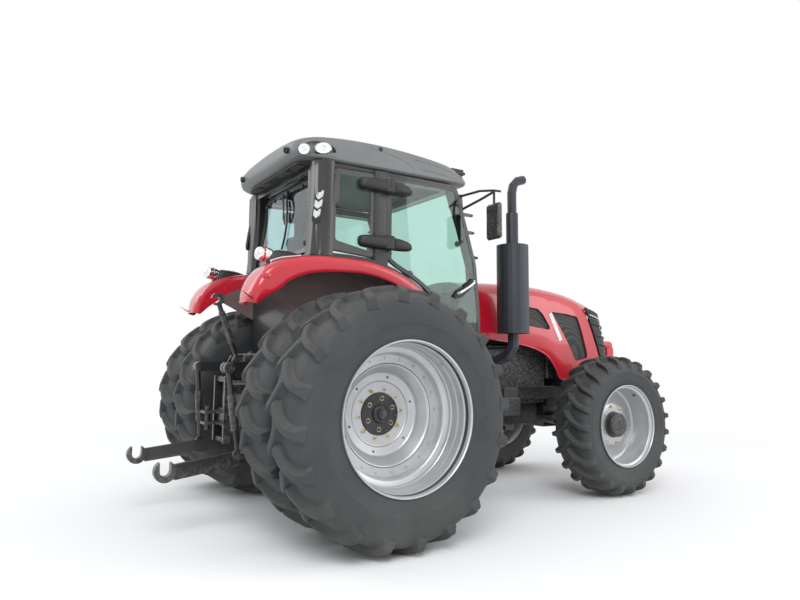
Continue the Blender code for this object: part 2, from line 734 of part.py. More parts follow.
def door_frame(side):
    y = mirrored_y(CAB_HALF - PANEL_T, CAB_HALF, side)
    outer = plate(door_outline(), *y)
    window = plate(door_outline(DOOR_BORDER), y[0] - 0.1, y[1] + 0.1)
    frame = cut(outer, window)
    hinges = []
    for low in (2.090, 2.560):
        high = low + 0.070
        pin = (DOOR_HINGE_X, side * HINGE_Y)
        hinges.append(rod((*pin, low), (*pin, high), HINGE_Y - CAB_HALF - GAP, sides=16))
        leaf = mirrored_y(CAB_HALF + 0.003, HINGE_Y + 0.010, side)
        hinges.append(box((DOOR_HINGE_X + 0.001, 0.410), leaf, (low + 0.003, high - 0.003)))
        strap = mirrored_y(CAB_HALF - 0.010, HINGE_Y + 0.006, side)
        hinges.append(box((DOOR_REAR + 0.012, 0.412), strap, (low + 0.006, high - 0.006)))
    handle = box((1.080, 1.300), mirrored_y(CAB_HALF + 0.015, CAB_HALF + 0.045, side), (1.850, 1.890))
    bridge = box((1.268, 1.296), mirrored_y(CAB_HALF - 0.020, CAB_HALF + 0.020, side), (1.840, 1.900))
    return union(frame, *hinges, bridge, handle)


def door_glass(side):
    y = mirrored_y(CAB_HALF - 0.024, CAB_HALF - 0.024 + GLASS_T, side)
    return plate(door_outline(DOOR_BORDER + GAP), *y)


def roof():
    """The crowned cap over the cab, with a flat underside and rounded ends."""
    # station: x, half width, edge height, crown height, height of its under edge
    stations = [
        (ROOF_REAR, 0.560, 2.900, 2.930, 2.860),
        (ROOF_REAR + 0.040, 0.640, 2.960, 3.010, CAB_TOP + GAP),
        (ROOF_REAR + 0.220, 0.725, 3.020, 3.090, CAB_TOP + GAP),
        (0.250, ROOF_HALF, ROOF_EDGE_Z, ROOF_CROWN_Z, CAB_TOP + GAP),
        (0.850, 0.725, 3.030, 3.115, CAB_TOP + GAP),
        (ROOF_FRONT - 0.100, 0.640, 2.980, 3.050, CAB_TOP + GAP),
        (ROOF_FRONT, 0.520, 2.900, 2.950, 2.850),
    ]
    bm = bmesh.new()
    rings = []
    for x, half, edge, crown, under in stations:
        section = [
            (half, under),
            (half + 0.010, (under + edge) / 2),
            (half - 0.030, edge),
            (half * 0.60, (edge + crown * 2) / 3),
            (0.0, crown),
        ]
        section += [(-y, z) for y, z in section[-2::-1]]
        rings.append([bm.verts.new((x, y, z)) for y, z in section])
    count = len(rings[0])
    for first, second in zip(rings, rings[1:]):
        for i in range(count):
            j = (i + 1) % count
            bm.faces.new((first[i], first[j], second[j], second[i]))
    bm.faces.new(rings[0])
    bm.faces.new(rings[-1])
    return from_bmesh(bm)


def seat():
    """The cushion, the back and the pedestal in one plain form."""
    pedestal = box((-0.020, 0.300), (-0.180, 0.180), (FLOOR_Z + 0.060 + GAP, 1.620))
    cushion = softened(box((-0.060, 0.440), (-0.250, 0.250), (1.600, 1.740)), 0.040, 2)
    outline = [(-0.060, 1.640), (0.070, 1.700), (-0.030, 2.380), (-0.150, 2.370)]
    back = softened(plate(outline, -0.240, 0.240), 0.035, 2)
    return union(cushion, back, pedestal)


def console():
    """The front console with the steering column rising from it."""
    foot = box((1.040, CAB_FRONT - 0.0423), (-0.160, 0.160), (FLOOR_Z + 0.060 + GAP, 1.760))
    column = rod(COLUMN_LOW, COLUMN_TOP, 0.050)
    dash = softened(box((1.020, 1.200), (-0.200, 0.200), (1.700, 1.900)), 0.030, 2)
    return union(foot, dash, column)


def wheel_axis():
    return (COLUMN_TOP - COLUMN_LOW).normalized()


def steering_wheel():
    """Rim, three spokes and hub on the column's axis."""
    axis = wheel_axis()
    turn = axis.to_track_quat("Z", "Y").to_matrix().to_4x4()
    centre = COLUMN_TOP + axis * 0.045
    bpy.ops.mesh.primitive_torus_add(
        major_radius=0.200, minor_radius=0.014, major_segments=20, minor_segments=6
    )
    ring = bpy.context.object
    for holder in list(ring.users_collection):
        holder.objects.unlink(ring)
    PARTS.objects.link(ring)
    ring.matrix_world = Matrix.Translation(centre) @ turn
    ring = baked(ring)
    hub = rod(COLUMN_TOP + axis * GAP, COLUMN_TOP + axis * 0.060, 0.045)
    spokes = []
    for degrees in (90, 210, 330):
        angle = math.radians(degrees)
        tip = centre + turn.to_3x3() @ Vector((0.200 * math.cos(angle), 0.200 * math.sin(angle), 0))
        spokes.append(rod(centre, tip, 0.010, sides=8))
    return union(ring, hub, *spokes)


def make_cab():
    node("cab_frame", cab_frame(), "black_frame")
    node("roof", roof(), "grey_plastic")
    node("windscreen", windscreen(), "glass")
    node("rear_window", rear_window(), "glass")
    node("driver_seat", seat(), "seat_fabric")
    node("console", console(), "grey_plastic")
    pivot = body("steering_wheel", COLUMN_TOP, TRACTOR)
    node("steering_wheel", steering_wheel(), "black_frame", pivot)
    for name, side in SIDES:
        node(f"side_window_{name}", side_window(side), "glass")
        hinge = body(f"door_{name}", (DOOR_HINGE_X, side * HINGE_Y, 2.0), TRACTOR)
        node(f"door_frame_{name}", door_frame(side), "black_frame", hinge)
        node(f"door_glass_{name}", door_glass(side), "glass", hinge)


# ---- fenders, steps, mirrors and lamps --------------------------------------------------
def fender(side):
    """The arched shell over the inner rear wheel: top skin, outer lip and inner wall."""
    top = arc(FENDER_R, FENDER_FRONT_DEG, 90, ARCH_STEPS) + FENDER_TAIL
    under = [(x * 0.99, z - FENDER_T * 1.2) for x, z in top]
    skin = plate(top + under[::-1], *mirrored_y(FENDER_IN, FENDER_OUT, side))
    lip = top + LIP_TAIL + arc(FENDER_LIP_R, 90, FENDER_FRONT_DEG, ARCH_STEPS)
    outer = plate(lip, *mirrored_y(FENDER_OUT - FENDER_T, FENDER_OUT, side))
    inner = plate(lip, *mirrored_y(FENDER_IN, FENDER_IN + FENDER_T, side))
    return union(skin, outer, inner)


def fender_lamp(side):
    """The pod on the fender with a round lens to the rear."""
    foot = [(-0.640, 1.965), (-0.300, 2.0415), (-0.330, 2.070), (-0.520, 2.110), (-0.640, 2.110)]
    pod = plate(foot, *mirrored_y(0.600, 0.680, side))
    ball = rod((-0.745, side * 0.640, 2.045), (-0.620, side * 0.640, 2.060), 0.055, sides=12)
    return cut(union(pod, ball), fender_block(side))


def fender_block(side):
    """The fender's top grown by the gap, as one block, to cut what stands on it."""
    top = arc(FENDER_R, 60, 90, 4) + FENDER_TAIL
    grown = [(x, z + 0.0004) for x, z in top] + [(-0.9, 1.5), (0.5, 1.5)]
    return plate(grown, *mirrored_y(FENDER_IN - 0.1, FENDER_OUT + 0.1, side))


def steps(side):
    """Three treads on two hangers below the door; the left ones hang on the fuel tank."""
    pieces = []
    hang = mirrored_y(0.560, 0.580, side)
    pieces.append(box((1.000, 1.040), hang, (0.520, FLOOR_Z - GAP)))
    pieces.append(box((1.300, 1.340), hang, (0.520, FLOOR_Z - GAP)))
    for rise, reach in ((0.500, 0.800), (0.780, 0.770), (1.060, 0.740)):
        pieces.append(box((1.000, 1.340), mirrored_y(0.560, reach, side), (rise, rise + 0.035)))
    return union(*pieces)


def fuel_tank():
    """The tank under the left of the cab floor."""
    return softened(box((0.950, 1.400), (0.2403, 0.560 - GAP), (0.620, FLOOR_Z - GAP)), 0.030, 1)


def post_front(z):
    """The front face of a front post's upper stretch at a height."""
    (low_x, low_z), (high_x, high_z) = A_POST[-2:]
    slope = (high_x - low_x) / (high_z - low_z)
    return low_x + slope * (z - low_z) + POST_T / 2 * math.hypot(1, slope)


def mirror(side):
    """A bracket on the front post, two tubes outwards and the head hanging from them."""
    low, high = 2.580, 2.730
    seat = [(post_front(low) + GAP, low), (post_front(high) + GAP, high), (1.150, high), (1.165, low)]
    bracket = plate(seat, *mirrored_y(0.680, POST_OUT, side))
    out = [side * y for y in (0.700, 0.880, 1.020, 1.100)]
    upper = [(1.140, out[0], 2.715), (1.210, out[1], 2.735)]
    upper += [(MIRROR_X, out[2], 2.715), (MIRROR_X, out[3], 2.690)]
    lower = [(1.150, out[0], 2.595), (1.210, out[1], 2.655), (MIRROR_X, out[2], 2.705)]
    stem = rod((MIRROR_X, out[2], 2.712), (MIRROR_X, out[2], 2.560), 0.011)
    head = box((MIRROR_X - 0.025, MIRROR_X + 0.025), mirrored_y(0.930, 1.110, side), (2.290, 2.600))
    return union(bracket, tube(upper, 0.011), tube(lower, 0.011), stem, softened(head, 0.020, 1))


def make_outside():
    for name, side in SIDES:
        node(f"fender_{name}", fender(side), "red_paint")
        node(f"fender_lamp_{name}", fender_lamp(side), "lamp")
        node(f"steps_{name}", steps(side), "cast_black")
        node(f"mirror_{name}", mirror(side), "cast_black")
    node("fuel_tank", fuel_tank(), "grey_plastic")


# ---- hood -----------------------------------------------------------------------------
def hood_shell():
    """Top and sides as one shell; ahead of the last full section only the top goes on."""
    # station: top x, bottom x, crown z, shoulder z, shoulder y, side y, bottom z (None: top only)
    stations = [
        (HOOD_REAR, HOOD_REAR, 2.030, 1.960, 0.330, HOOD_HALF, 1.490),
        (2.080, 2.080, 2.055, 1.985, 0.330, HOOD_HALF, 1.430),
        (2.400, 2.430, 2.050, 1.980, 0.330, HOOD_HALF, 1.350),
        (2.520, 2.600, 2.045, 1.972, 0.330, HOOD_HALF, 1.180),
        (2.600, 2.680, 2.038, 1.965, 0.330, HOOD_HALF, 1.080),
        (2.900, 3.020, 2.000, 1.925, 0.325, 0.425, 1.080),
        (3.110, 3.370, 1.955, 1.870, 0.320, 0.400, 1.080),
        (3.330, None, 1.895, 1.810, 0.290, None, None),
        (3.480, None, 1.850, 1.770, 0.230, None, None),
    ]
    bm = bmesh.new()
    halves = []
    for top_x, low_x, crown, shoulder, shoulder_y, side_y, low_z in stations:
        row = [
            (top_x, 0.0, crown),
            (top_x, shoulder_y * 0.62, crown * 0.62 + shoulder * 0.38 + 0.008),
            (top_x, shoulder_y, shoulder),
            (top_x + 0.005, shoulder_y + 0.055, shoulder - 0.085),
        ]
        if low_x is not None:
            middle = (shoulder - 0.085 + low_z) / 2
            row.append(((top_x + low_x) / 2, side_y, middle))
            row.append((low_x, side_y, low_z))
        halves.append([bm.verts.new(place) for place in row])
    for first, second in zip(halves, halves[1:]):
        for i in range(min(len(first), len(second)) - 1):
            bm.faces.new((first[i], first[i + 1], second[i + 1], second[i]))
    half = from_bmesh(bm)
    mirror_half = half.modifiers.new("both", "MIRROR")
    mirror_half.use_axis = (False, True, False)
    mirror_half.merge_threshold = 0.0001
    return thickened(baked(half), HOOD_T, Vector((0, 0, -1)))


def hood_grille():
    """The nose below the hood's top: a shell bent round from one side to the other."""
    # column: top x, top y, top z, bottom x, bottom y
    columns = [
        (3.1627, 0.381, 1.660, 3.3727, 0.398),
        (3.400, 0.330, 1.655, 3.560, 0.330),
        (3.520, 0.190, 1.650, NOSE_X - 0.020, 0.180),
        (3.560, 0.0, 1.650, NOSE_X, 0.0),
    ]
    columns += [(tx, -ty, tz, bx, -by) for tx, ty, tz, bx, by in columns[-2::-1]]
    rows = []
    for share in (0.0, 0.35, 1.0):
        rows.append(
            [
                (tx + (bx - tx) * share, ty + (by - ty) * share, tz + (1.090 - tz) * share)
                for tx, ty, tz, bx, by in columns
            ]
        )
    return thickened(grid_surface(rows), HOOD_T, Vector((-1, 0, 0)))


def make_hood():
    hinge = body("hood", HOOD_HINGE, TRACTOR)
    node("hood", hood_shell(), "red_paint", hinge)
    node("hood_grille", hood_grille(), "grey_plastic", hinge)


# ---- rear linkage ---------------------------------------------------------------------
def lower_link(side):
    """The bar from the ball under the axle housing to the claw at its end."""
    px, py, pz = LINK_PIVOT
    ball = rod((px, side * (LINK_CHEEK + PIN_GAP), pz), (px, side * (py + 0.085), pz), 0.052, sides=12)
    elbow = (px - 0.420, side * 0.405, pz - 0.050)
    hook = Vector((HOOK_X, side * HOOK_Y, HOOK_Z))
    inner = bar((px, side * (py + 0.062), pz), elbow, 0.034, 0.085)
    outer = bar((elbow[0] + 0.040, *elbow[1:]), hook + Vector((0.060, 0, -0.010)), 0.034, 0.105)
    across = Vector((0, 0.030, 0))
    claw = rod(hook - across, hook + across, HOOK_R, sides=20)
    bore = Vector((0, 0.1, 0.004)), Vector((0, -0.1, 0.004))
    opened = mirrored_y(HOOK_Y - 0.1, HOOK_Y + 0.1, side)
    mouth = union(
        rod(hook + bore[1], hook + bore[0], 0.038, sides=12),
        box((HOOK_X - 0.038, HOOK_X + 0.038), opened, (HOOK_Z, HOOK_Z + 0.200)),
    )
    return cut(union(ball, inner, outer, claw), mouth)


def rod_foot(side):
    return Vector((-0.760, side * 0.475, 0.560))


def arm_tip(side):
    return Vector((ROCK_X - ARM_LENGTH, side * 0.405, ROCK_Z - 0.010))


def lift_arms():
    """The rockshaft with an arm on each end."""
    shaft = rod((ROCK_X, -0.350, ROCK_Z), (ROCK_X, 0.350, ROCK_Z), ROCK_R, sides=24)
    pieces = [shaft]
    for _, side in SIDES:
        tip = arm_tip(side)
        root = Vector((ROCK_X, side * 0.325, ROCK_Z))
        pieces.append(rod(root - Vector((0, 0.035, 0)), root + Vector((0, 0.035, 0)), 0.075, sides=12))
        pieces.append(bar(root, (tip.x, side * 0.345, tip.z), 0.045, 0.080))
        pieces.append(rod((tip.x, side * 0.325, tip.z), (tip.x, side * 0.368, tip.z), 0.045, sides=12))
        pieces.append(rod((tip.x, side * 0.340, tip.z), (tip.x, side * 0.425, tip.z), 0.018))
    return union(*pieces)


def lift_rod(side):
    """The screw-adjusted rod between the lift arm's tip and the lower link."""
    tip = arm_tip(side)
    foot = rod_foot(side)
    eye = rod((tip.x, side * 0.375, tip.z), (tip.x, side * 0.420, tip.z), 0.042, sides=12)
    bore = rod((tip.x, side * 0.300, tip.z), (tip.x, side * 0.500, tip.z), 0.0190)
    start = Vector((tip.x, side * 0.398, tip.z - 0.030))
    low = foot + Vector((0, 0, 0.030))
    shank = rod(start, start.lerp(low, 0.45), 0.020)
    barrel = rod(start.lerp(low, 0.30), start.lerp(low, 0.75), 0.030)
    thread = rod(start.lerp(low, 0.60), low, 0.018)
    shoe = rod(foot - Vector((0, 0.018, 0)), foot + Vector((0, 0.018, 0)), 0.038, sides=12)
    return union(cut(eye, bore), shank, barrel, thread, shoe)


def top_link():
    """The stowed top link: a turnbuckle with a hook at its upper end."""
    start, end = Vector(TOP_LINK_PIVOT), Vector(TOP_LINK_END)
    across = Vector((0, 0.030, 0))
    eye = rod(start - across, start + across, 0.040, sides=12)
    bore = rod(start - across * 4, start + across * 4, 0.0170)
    low = rod(start.lerp(end, 0.06), start.lerp(end, 0.40), 0.020)
    barrel = rod(start.lerp(end, 0.28), start.lerp(end, 0.80), 0.027)
    high = rod(start.lerp(end, 0.70), end, 0.020)
    claw = rod(end - across * 0.8, end + across * 0.8, 0.052, sides=12)
    along = (end - start).normalized()
    back = Vector((-along.z, 0, along.x))
    mouth = rod(end - across * 3 + back * 0.012, end + across * 3 + back * 0.012, 0.027)
    gap = bar(end + back * 0.012, end + back * 0.100, 0.3, 0.046)
    return union(cut(union(eye, low), bore), barrel, cut(union(high, claw), union(mouth, gap)))


def hitch_frame():
    """The ladder for the adjustable hitch, its clevis and the top link's bracket."""
    pieces = []
    for _, side in SIDES:
        pieces.append(box((-0.760, -0.700), mirrored_y(0.110, 0.140, side), (0.600, 1.120)))
        pieces.append(box((-0.700, -0.4203), mirrored_y(0.100, 0.150, side), (0.640, 0.700)))
        pieces.append(box((-0.700, -0.4203), mirrored_y(0.100, 0.150, side), (0.980, 1.040)))
        ear = [(-0.6003, 1.100), (-0.6003, 1.190), (-0.590, 1.290)]
        ear += [(-0.655, 1.290), (-0.680, 1.240), (-0.680, 1.100)]
        pieces.append(plate(ear, *mirrored_y(0.038, 0.060, side)))
    pieces.append(box((-0.745, -0.715), (-0.125, 0.125), (1.075, 1.115)))
    pieces.append(box((-0.745, -0.715), (-0.125, 0.125), (0.605, 0.640)))
    pieces.append(box((-0.735, -0.6010), (-0.066, 0.066), (1.086, 1.108)))
    pivot = Vector(TOP_LINK_PIVOT)
    pieces.append(rod(pivot - Vector((0, 0.058, 0)), pivot + Vector((0, 0.058, 0)), 0.0160))
    for low, high in ((0.745, 0.765), (0.830, 0.850)):
        jaw = [(-0.712, -0.128), (-0.800, -0.075), (-0.885, -0.060)]
        pieces.append(slab(jaw + [(x, -y) for x, y in jaw[::-1]], low, high))
    pieces.append(box((-0.735, -0.708), (-0.120, 0.120), (0.730, 0.865)))
    pieces.append(rod((-0.845, 0, 0.700), (-0.845, 0, 0.885), 0.018))
    return union(*pieces)


def make_linkage():
    node("hitch_frame", hitch_frame(), "cast_black")
    node("top_link", top_link(), "cast_black", body("top_link", TOP_LINK_PIVOT, TRACTOR))
    arms = body("lift_arms", (ROCK_X, 0, ROCK_Z), TRACTOR)
    node("lift_arms", lift_arms(), "cast_black", arms)
    for name, side in SIDES:
        px, py, pz = LINK_PIVOT
        link = body(f"lower_link_{name}", (px, side * py, pz), TRACTOR)
        node(f"lower_link_{name}", lower_link(side), "cast_black", link)
        hanger = body(f"lift_rod_{name}", arm_tip(side), arms)
        node(f"lift_rod_{name}", lift_rod(side), "cast_black", hanger)


# ---- the tractor ----------------------------------------------------------------------
clear_scene()
PARTS = collection("farm_tractor")
MATERIALS = {name: make_material(name) for name in FINISHES}
PIVOTS = {}
TRACTOR = body("tractor")
TRACTOR.location = (-MIDDLE_X, 0, 0)
make_wheels()
make_running_gear()
make_cab()
make_outside()
make_hood()
make_linkage()
bpy.context.view_layer.update()
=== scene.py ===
# %% [markdown]
# A row-crop farm tractor with a cab and dual rear wheels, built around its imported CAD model.
# The CAD model fixes every length and every joint. This script adds what the eye sees:
# tread, bolts, glass, lamps, paint, rubber and dust.

# %% Load the frame
import json
import math
import random

import bmesh
import bpy
from mathutils import Matrix, Vector
from mathutils.bvhtree import BVHTree


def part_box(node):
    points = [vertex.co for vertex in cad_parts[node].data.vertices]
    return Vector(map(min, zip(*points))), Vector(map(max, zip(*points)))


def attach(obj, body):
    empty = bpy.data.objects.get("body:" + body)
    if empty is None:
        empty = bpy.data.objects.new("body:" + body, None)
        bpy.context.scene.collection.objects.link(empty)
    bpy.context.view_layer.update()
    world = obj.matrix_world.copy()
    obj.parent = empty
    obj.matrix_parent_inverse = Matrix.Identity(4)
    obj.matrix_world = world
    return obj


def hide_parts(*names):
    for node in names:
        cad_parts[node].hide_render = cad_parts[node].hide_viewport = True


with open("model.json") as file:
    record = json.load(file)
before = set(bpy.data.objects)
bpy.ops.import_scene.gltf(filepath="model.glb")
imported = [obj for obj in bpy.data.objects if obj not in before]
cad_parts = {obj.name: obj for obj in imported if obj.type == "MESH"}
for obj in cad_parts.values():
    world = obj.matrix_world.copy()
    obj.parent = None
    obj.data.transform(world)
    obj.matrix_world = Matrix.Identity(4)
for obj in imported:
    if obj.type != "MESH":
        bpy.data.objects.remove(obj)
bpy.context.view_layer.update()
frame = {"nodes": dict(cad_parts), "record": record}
SIDES = (("right", -1), ("left", 1))

# %% [markdown]
# The camera stands to the right of the tractor and a little behind it, at the height of
# a person's waist, and looks slightly up. A short lens gives the strong perspective of a
# big machine seen from close by.

# %% Camera
CAMERA_PLACE = Vector((-3.7004, -5.111, 1.2568))
CAMERA_TURN = math.radians(57.97)
CAMERA_RISE = math.radians(6.05)
CAMERA_ROLL = math.radians(0.56)
CAMERA_LENS = 29.0
CAMERA_SHIFT = (0.019, -0.010)


def aim_camera():
    data = bpy.data.cameras.new("camera")
    data.lens = CAMERA_LENS
    data.sensor_width = 36.0
    data.shift_x, data.shift_y = CAMERA_SHIFT
    data.clip_end = 400.0
    camera = bpy.data.objects.new("camera", data)
    bpy.context.scene.collection.objects.link(camera)
    turn = Matrix.Rotation(CAMERA_TURN - math.pi / 2, 4, "Z")
    rise = Matrix.Rotation(math.pi / 2 + CAMERA_RISE, 4, "X")
    roll = Matrix.Rotation(CAMERA_ROLL, 4, "Z")
    camera.matrix_world = Matrix.Translation(CAMERA_PLACE) @ turn @ rise @ roll
    bpy.context.scene.camera = camera
    return camera


print("camera at", [round(v, 2) for v in aim_camera().matrix_world.translation])

# %% [markdown]
# Paint, rubber and cast iron are never one flat colour. Four shared node groups give the
# variation. The first spreads a soft cloudy change over a surface. The second finds where
# dust settles: on faces that look up, and low down on the machine. The third finds the
# edges that hands and boots rub bright; on the tread their bluish colour is also painted
# sheen of the sky. The fourth makes a field of small round holes.
# A group is built once, and each finish places it with its own values.

# %% A group and its sockets
def new_group(name, inputs, outputs):
    group = bpy.data.node_groups.new(name, "ShaderNodeTree")
    for label, kind, value in inputs:
        socket = group.interface.new_socket(label, in_out="INPUT", socket_type=kind)
        socket.default_value = value
    for label, kind in outputs:
        group.interface.new_socket(label, in_out="OUTPUT", socket_type=kind)
    return group, group.nodes.new("NodeGroupInput"), group.nodes.new("NodeGroupOutput")


COLOUR, VALUE = "NodeSocketColor", "NodeSocketFloat"


def maths(tree, operation, first, second=None, third=None):
    """A Math node; each value is a number or a socket."""
    node = tree.nodes.new("ShaderNodeMath")
    node.operation = operation
    for socket, value in zip(node.inputs, (first, second, third)):
        if value is None:
            continue
        if isinstance(value, (int, float)):
            socket.default_value = value
        else:
            tree.links.new(value, socket)
    return node.outputs[0]


def spread(tree, value, low, high, to_low=0.0, to_high=1.0):
    """A Map Range node, clamped at both ends."""
    node = tree.nodes.new("ShaderNodeMapRange")
    for label, number in (("From Min", low), ("From Max", high), ("To Min", to_low), ("To Max", to_high)):
        node.inputs[label].default_value = number
    tree.links.new(value, node.inputs["Value"])
    return node.outputs["Result"]


def noise_of(tree, scale, detail=3.0, stretch=None):
    """Noise over the object's own coordinates; scale is a number or a socket."""
    place = tree.nodes.new("ShaderNodeTexCoord").outputs["Object"]
    if stretch:
        mapping = tree.nodes.new("ShaderNodeMapping")
        mapping.inputs["Scale"].default_value = stretch
        tree.links.new(place, mapping.inputs["Vector"])
        place = mapping.outputs["Vector"]
    noise = tree.nodes.new("ShaderNodeTexNoise")
    noise.inputs["Detail"].default_value = detail
    tree.links.new(place, noise.inputs["Vector"])
    if isinstance(scale, (int, float)):
        noise.inputs["Scale"].default_value = scale
    else:
        tree.links.new(scale, noise.inputs["Scale"])
    return noise.outputs["Fac"]


def mixed(tree, share, first, second):
    """A colour between two; each is an RGB tuple or a socket."""
    node = tree.nodes.new("ShaderNodeMix")
    node.data_type = "RGBA"
    tree.links.new(share, node.inputs[0])
    for socket, value in ((node.inputs[6], first), (node.inputs[7], second)):
        if isinstance(value, tuple):
            socket.default_value = (*value, 1)
        else:
            tree.links.new(value, socket)
    return node.outputs[2]


# %% The four groups
def cloudy_group():
    group, entry, leave = new_group(
        "cloudy_colour",
        [("Colour A", COLOUR, (0.5, 0.5, 0.5, 1)), ("Colour B", COLOUR, (0.4, 0.4, 0.4, 1)), ("Scale", VALUE, 3.0)],
        [("Colour", COLOUR), ("Mask", VALUE)],
    )
    mask = spread(group, noise_of(group, entry.outputs["Scale"], 5.0), 0.34, 0.66)
    colour = mixed(group, mask, entry.outputs["Colour A"], entry.outputs["Colour B"])
    group.links.new(colour, leave.inputs["Colour"])
    group.links.new(mask, leave.inputs["Mask"])
    return group


def dust_group():
    group, entry, leave = new_group(
        "settled_dust",
        [("Amount", VALUE, 0.3), ("Low Height", VALUE, 0.9), ("Scale", VALUE, 6.0)],
        [("Mask", VALUE)],
    )
    geometry = group.nodes.new("ShaderNodeNewGeometry")
    normal = group.nodes.new("ShaderNodeSeparateXYZ")
    group.links.new(geometry.outputs["Normal"], normal.inputs[0])
    place = group.nodes.new("ShaderNodeSeparateXYZ")
    group.links.new(geometry.outputs["Position"], place.inputs[0])
    upward = spread(group, normal.outputs["Z"], 0.2, 0.95)
    low = maths(group, "SUBTRACT", 1.0, maths(group, "DIVIDE", place.outputs["Z"], entry.outputs["Low Height"]))
    low = maths(group, "MULTIPLY", maths(group, "MAXIMUM", low, 0.0), 0.7)
    patchy = spread(group, noise_of(group, entry.outputs["Scale"], 6.0), 0.32, 0.72, 0.25, 1.0)
    both = maths(group, "MULTIPLY", maths(group, "MAXIMUM", upward, low), patchy)
    mask = maths(group, "MULTIPLY", both, entry.outputs["Amount"])
    group.links.new(maths(group, "MINIMUM", mask, 1.0), leave.inputs["Mask"])
    return group


def wear_and_sheen_group():
    group, entry, leave = new_group(
        "rubbed_and_sheen_edges", [("Amount", VALUE, 0.5), ("Scale", VALUE, 30.0)], [("Mask", VALUE)]
    )
    edge = spread(group, group.nodes.new("ShaderNodeNewGeometry").outputs["Pointiness"], 0.535, 0.60)
    patchy = spread(group, noise_of(group, entry.outputs["Scale"], 4.0), 0.40, 0.65)
    mask = maths(group, "MULTIPLY", maths(group, "MULTIPLY", edge, patchy), entry.outputs["Amount"])
    group.links.new(mask, leave.inputs["Mask"])
    return group


def holes_group():
    """1 in the middle of each hole, 0 on the sheet between them."""
    group, entry, leave = new_group(
        "small_holes", [("Holes per Metre", VALUE, 160.0), ("Hole Size", VALUE, 0.34)], [("Mask", VALUE)]
    )
    place = group.nodes.new("ShaderNodeTexCoord")
    cells = group.nodes.new("ShaderNodeTexVoronoi")
    cells.inputs["Randomness"].default_value = 0.0
    group.links.new(place.outputs["Object"], cells.inputs["Vector"])
    group.links.new(entry.outputs["Holes per Metre"], cells.inputs["Scale"])
    inside = maths(group, "SUBTRACT", entry.outputs["Hole Size"], cells.outputs["Distance"])
    group.links.new(spread(group, inside, -0.05, 0.05), leave.inputs["Mask"])
    return group


CLOUDY, DUST, WEAR_AND_SHEEN, HOLES = cloudy_group(), dust_group(), wear_and_sheen_group(), holes_group()
print("groups", [group.name for group in bpy.data.node_groups])

# %% [markdown]
# Each finish is one material with a Principled shader. Its colour goes from the cloudy
# group through edge wear, which on the tread is partly painted sheen, to dust, its
# roughness rises where the dust lies, and its bump adds the grain of the surface. The two
# cloudy colours lie close together, so a surface looks even from far away and alive from near.

# %% Finishes
DUST_COLOUR = (0.36, 0.33, 0.29)
GRAIN_HEIGHT = 0.0016    # metres that a full grain bump stands for
FINISH = {}


def placed_group(tree, group, values):
    node = tree.nodes.new("ShaderNodeGroup")
    node.node_tree = group
    for label, value in values.items():
        socket = node.inputs[label]
        socket.default_value = (*value, 1) if isinstance(value, tuple) else value
    return node.outputs


def make_finish(
    name, colours, rough, metal=0.0, scale=3.0, coat=0.0, dust=0.0, low=0.9,
    wear_and_sheen=0.0, bare_and_sheen=(0.42, 0.42, 0.42), grain=0.0, grain_scale=300.0, holes=None,
    stretch=None, second=None,
):
    """A finish from two colours and its amounts of dust, edge wear with painted sheen on the tread, grain and holes."""
    material = bpy.data.materials.new(name)
    material.use_nodes = True
    tree = material.node_tree
    shader = tree.nodes["Principled BSDF"]
    cloudy = placed_group(tree, CLOUDY, {"Colour A": colours[0], "Colour B": colours[1], "Scale": scale})
    colour = cloudy["Colour"]
    roughness = spread(tree, cloudy["Mask"], 0, 1, rough * 0.88, min(1.0, rough * 1.12))
    height = None
    if holes:
        per_metre, size, inner = holes
        hole = placed_group(tree, HOLES, {"Holes per Metre": per_metre, "Hole Size": size})["Mask"]
        colour = mixed(tree, hole, colour, inner)
        height = maths(tree, "MULTIPLY", hole, -1.0)
    # Edges take the bare colour: rubbed material, and on the tread partly painted sky sheen.
    if wear_and_sheen:
        worn_and_sheen_edges = placed_group(tree, WEAR_AND_SHEEN, {"Amount": wear_and_sheen, "Scale": 40.0})["Mask"]
        colour = mixed(tree, worn_and_sheen_edges, colour, bare_and_sheen)
    if dust:
        lying = placed_group(tree, DUST, {"Amount": dust, "Low Height": low, "Scale": 5.0})["Mask"]
        colour = mixed(tree, lying, colour, DUST_COLOUR)
        roughness = maths(tree, "ADD", roughness, maths(tree, "MULTIPLY", lying, 0.5))
        if coat:
            clean = maths(tree, "MULTIPLY", maths(tree, "SUBTRACT", 1.0, lying), coat)
            tree.links.new(clean, shader.inputs["Coat Weight"])
    elif coat:
        shader.inputs["Coat Weight"].default_value = coat
    tree.links.new(colour, shader.inputs["Base Color"])
    tree.links.new(roughness, shader.inputs["Roughness"])
    shader.inputs["Metallic"].default_value = metal
    shader.inputs["Coat Roughness"].default_value = 0.06
    if grain:
        fine = maths(tree, "MULTIPLY", noise_of(tree, grain_scale, 2.0, stretch), grain)
        if second:
            amount, size, reach = second
            coarse = maths(tree, "MULTIPLY", noise_of(tree, size, 3.0, reach), amount)
            fine = maths(tree, "ADD", fine, coarse)
        height = fine if height is None else maths(tree, "ADD", fine, height)
    if height is not None:
        bump = tree.nodes.new("ShaderNodeBump")
        bump.inputs["Strength"].default_value = 1.0
        bump.inputs["Distance"].default_value = GRAIN_HEIGHT
        tree.links.new(height, bump.inputs["Height"])
        tree.links.new(bump.outputs["Normal"], shader.inputs["Normal"])
    FINISH[name] = material
    return material


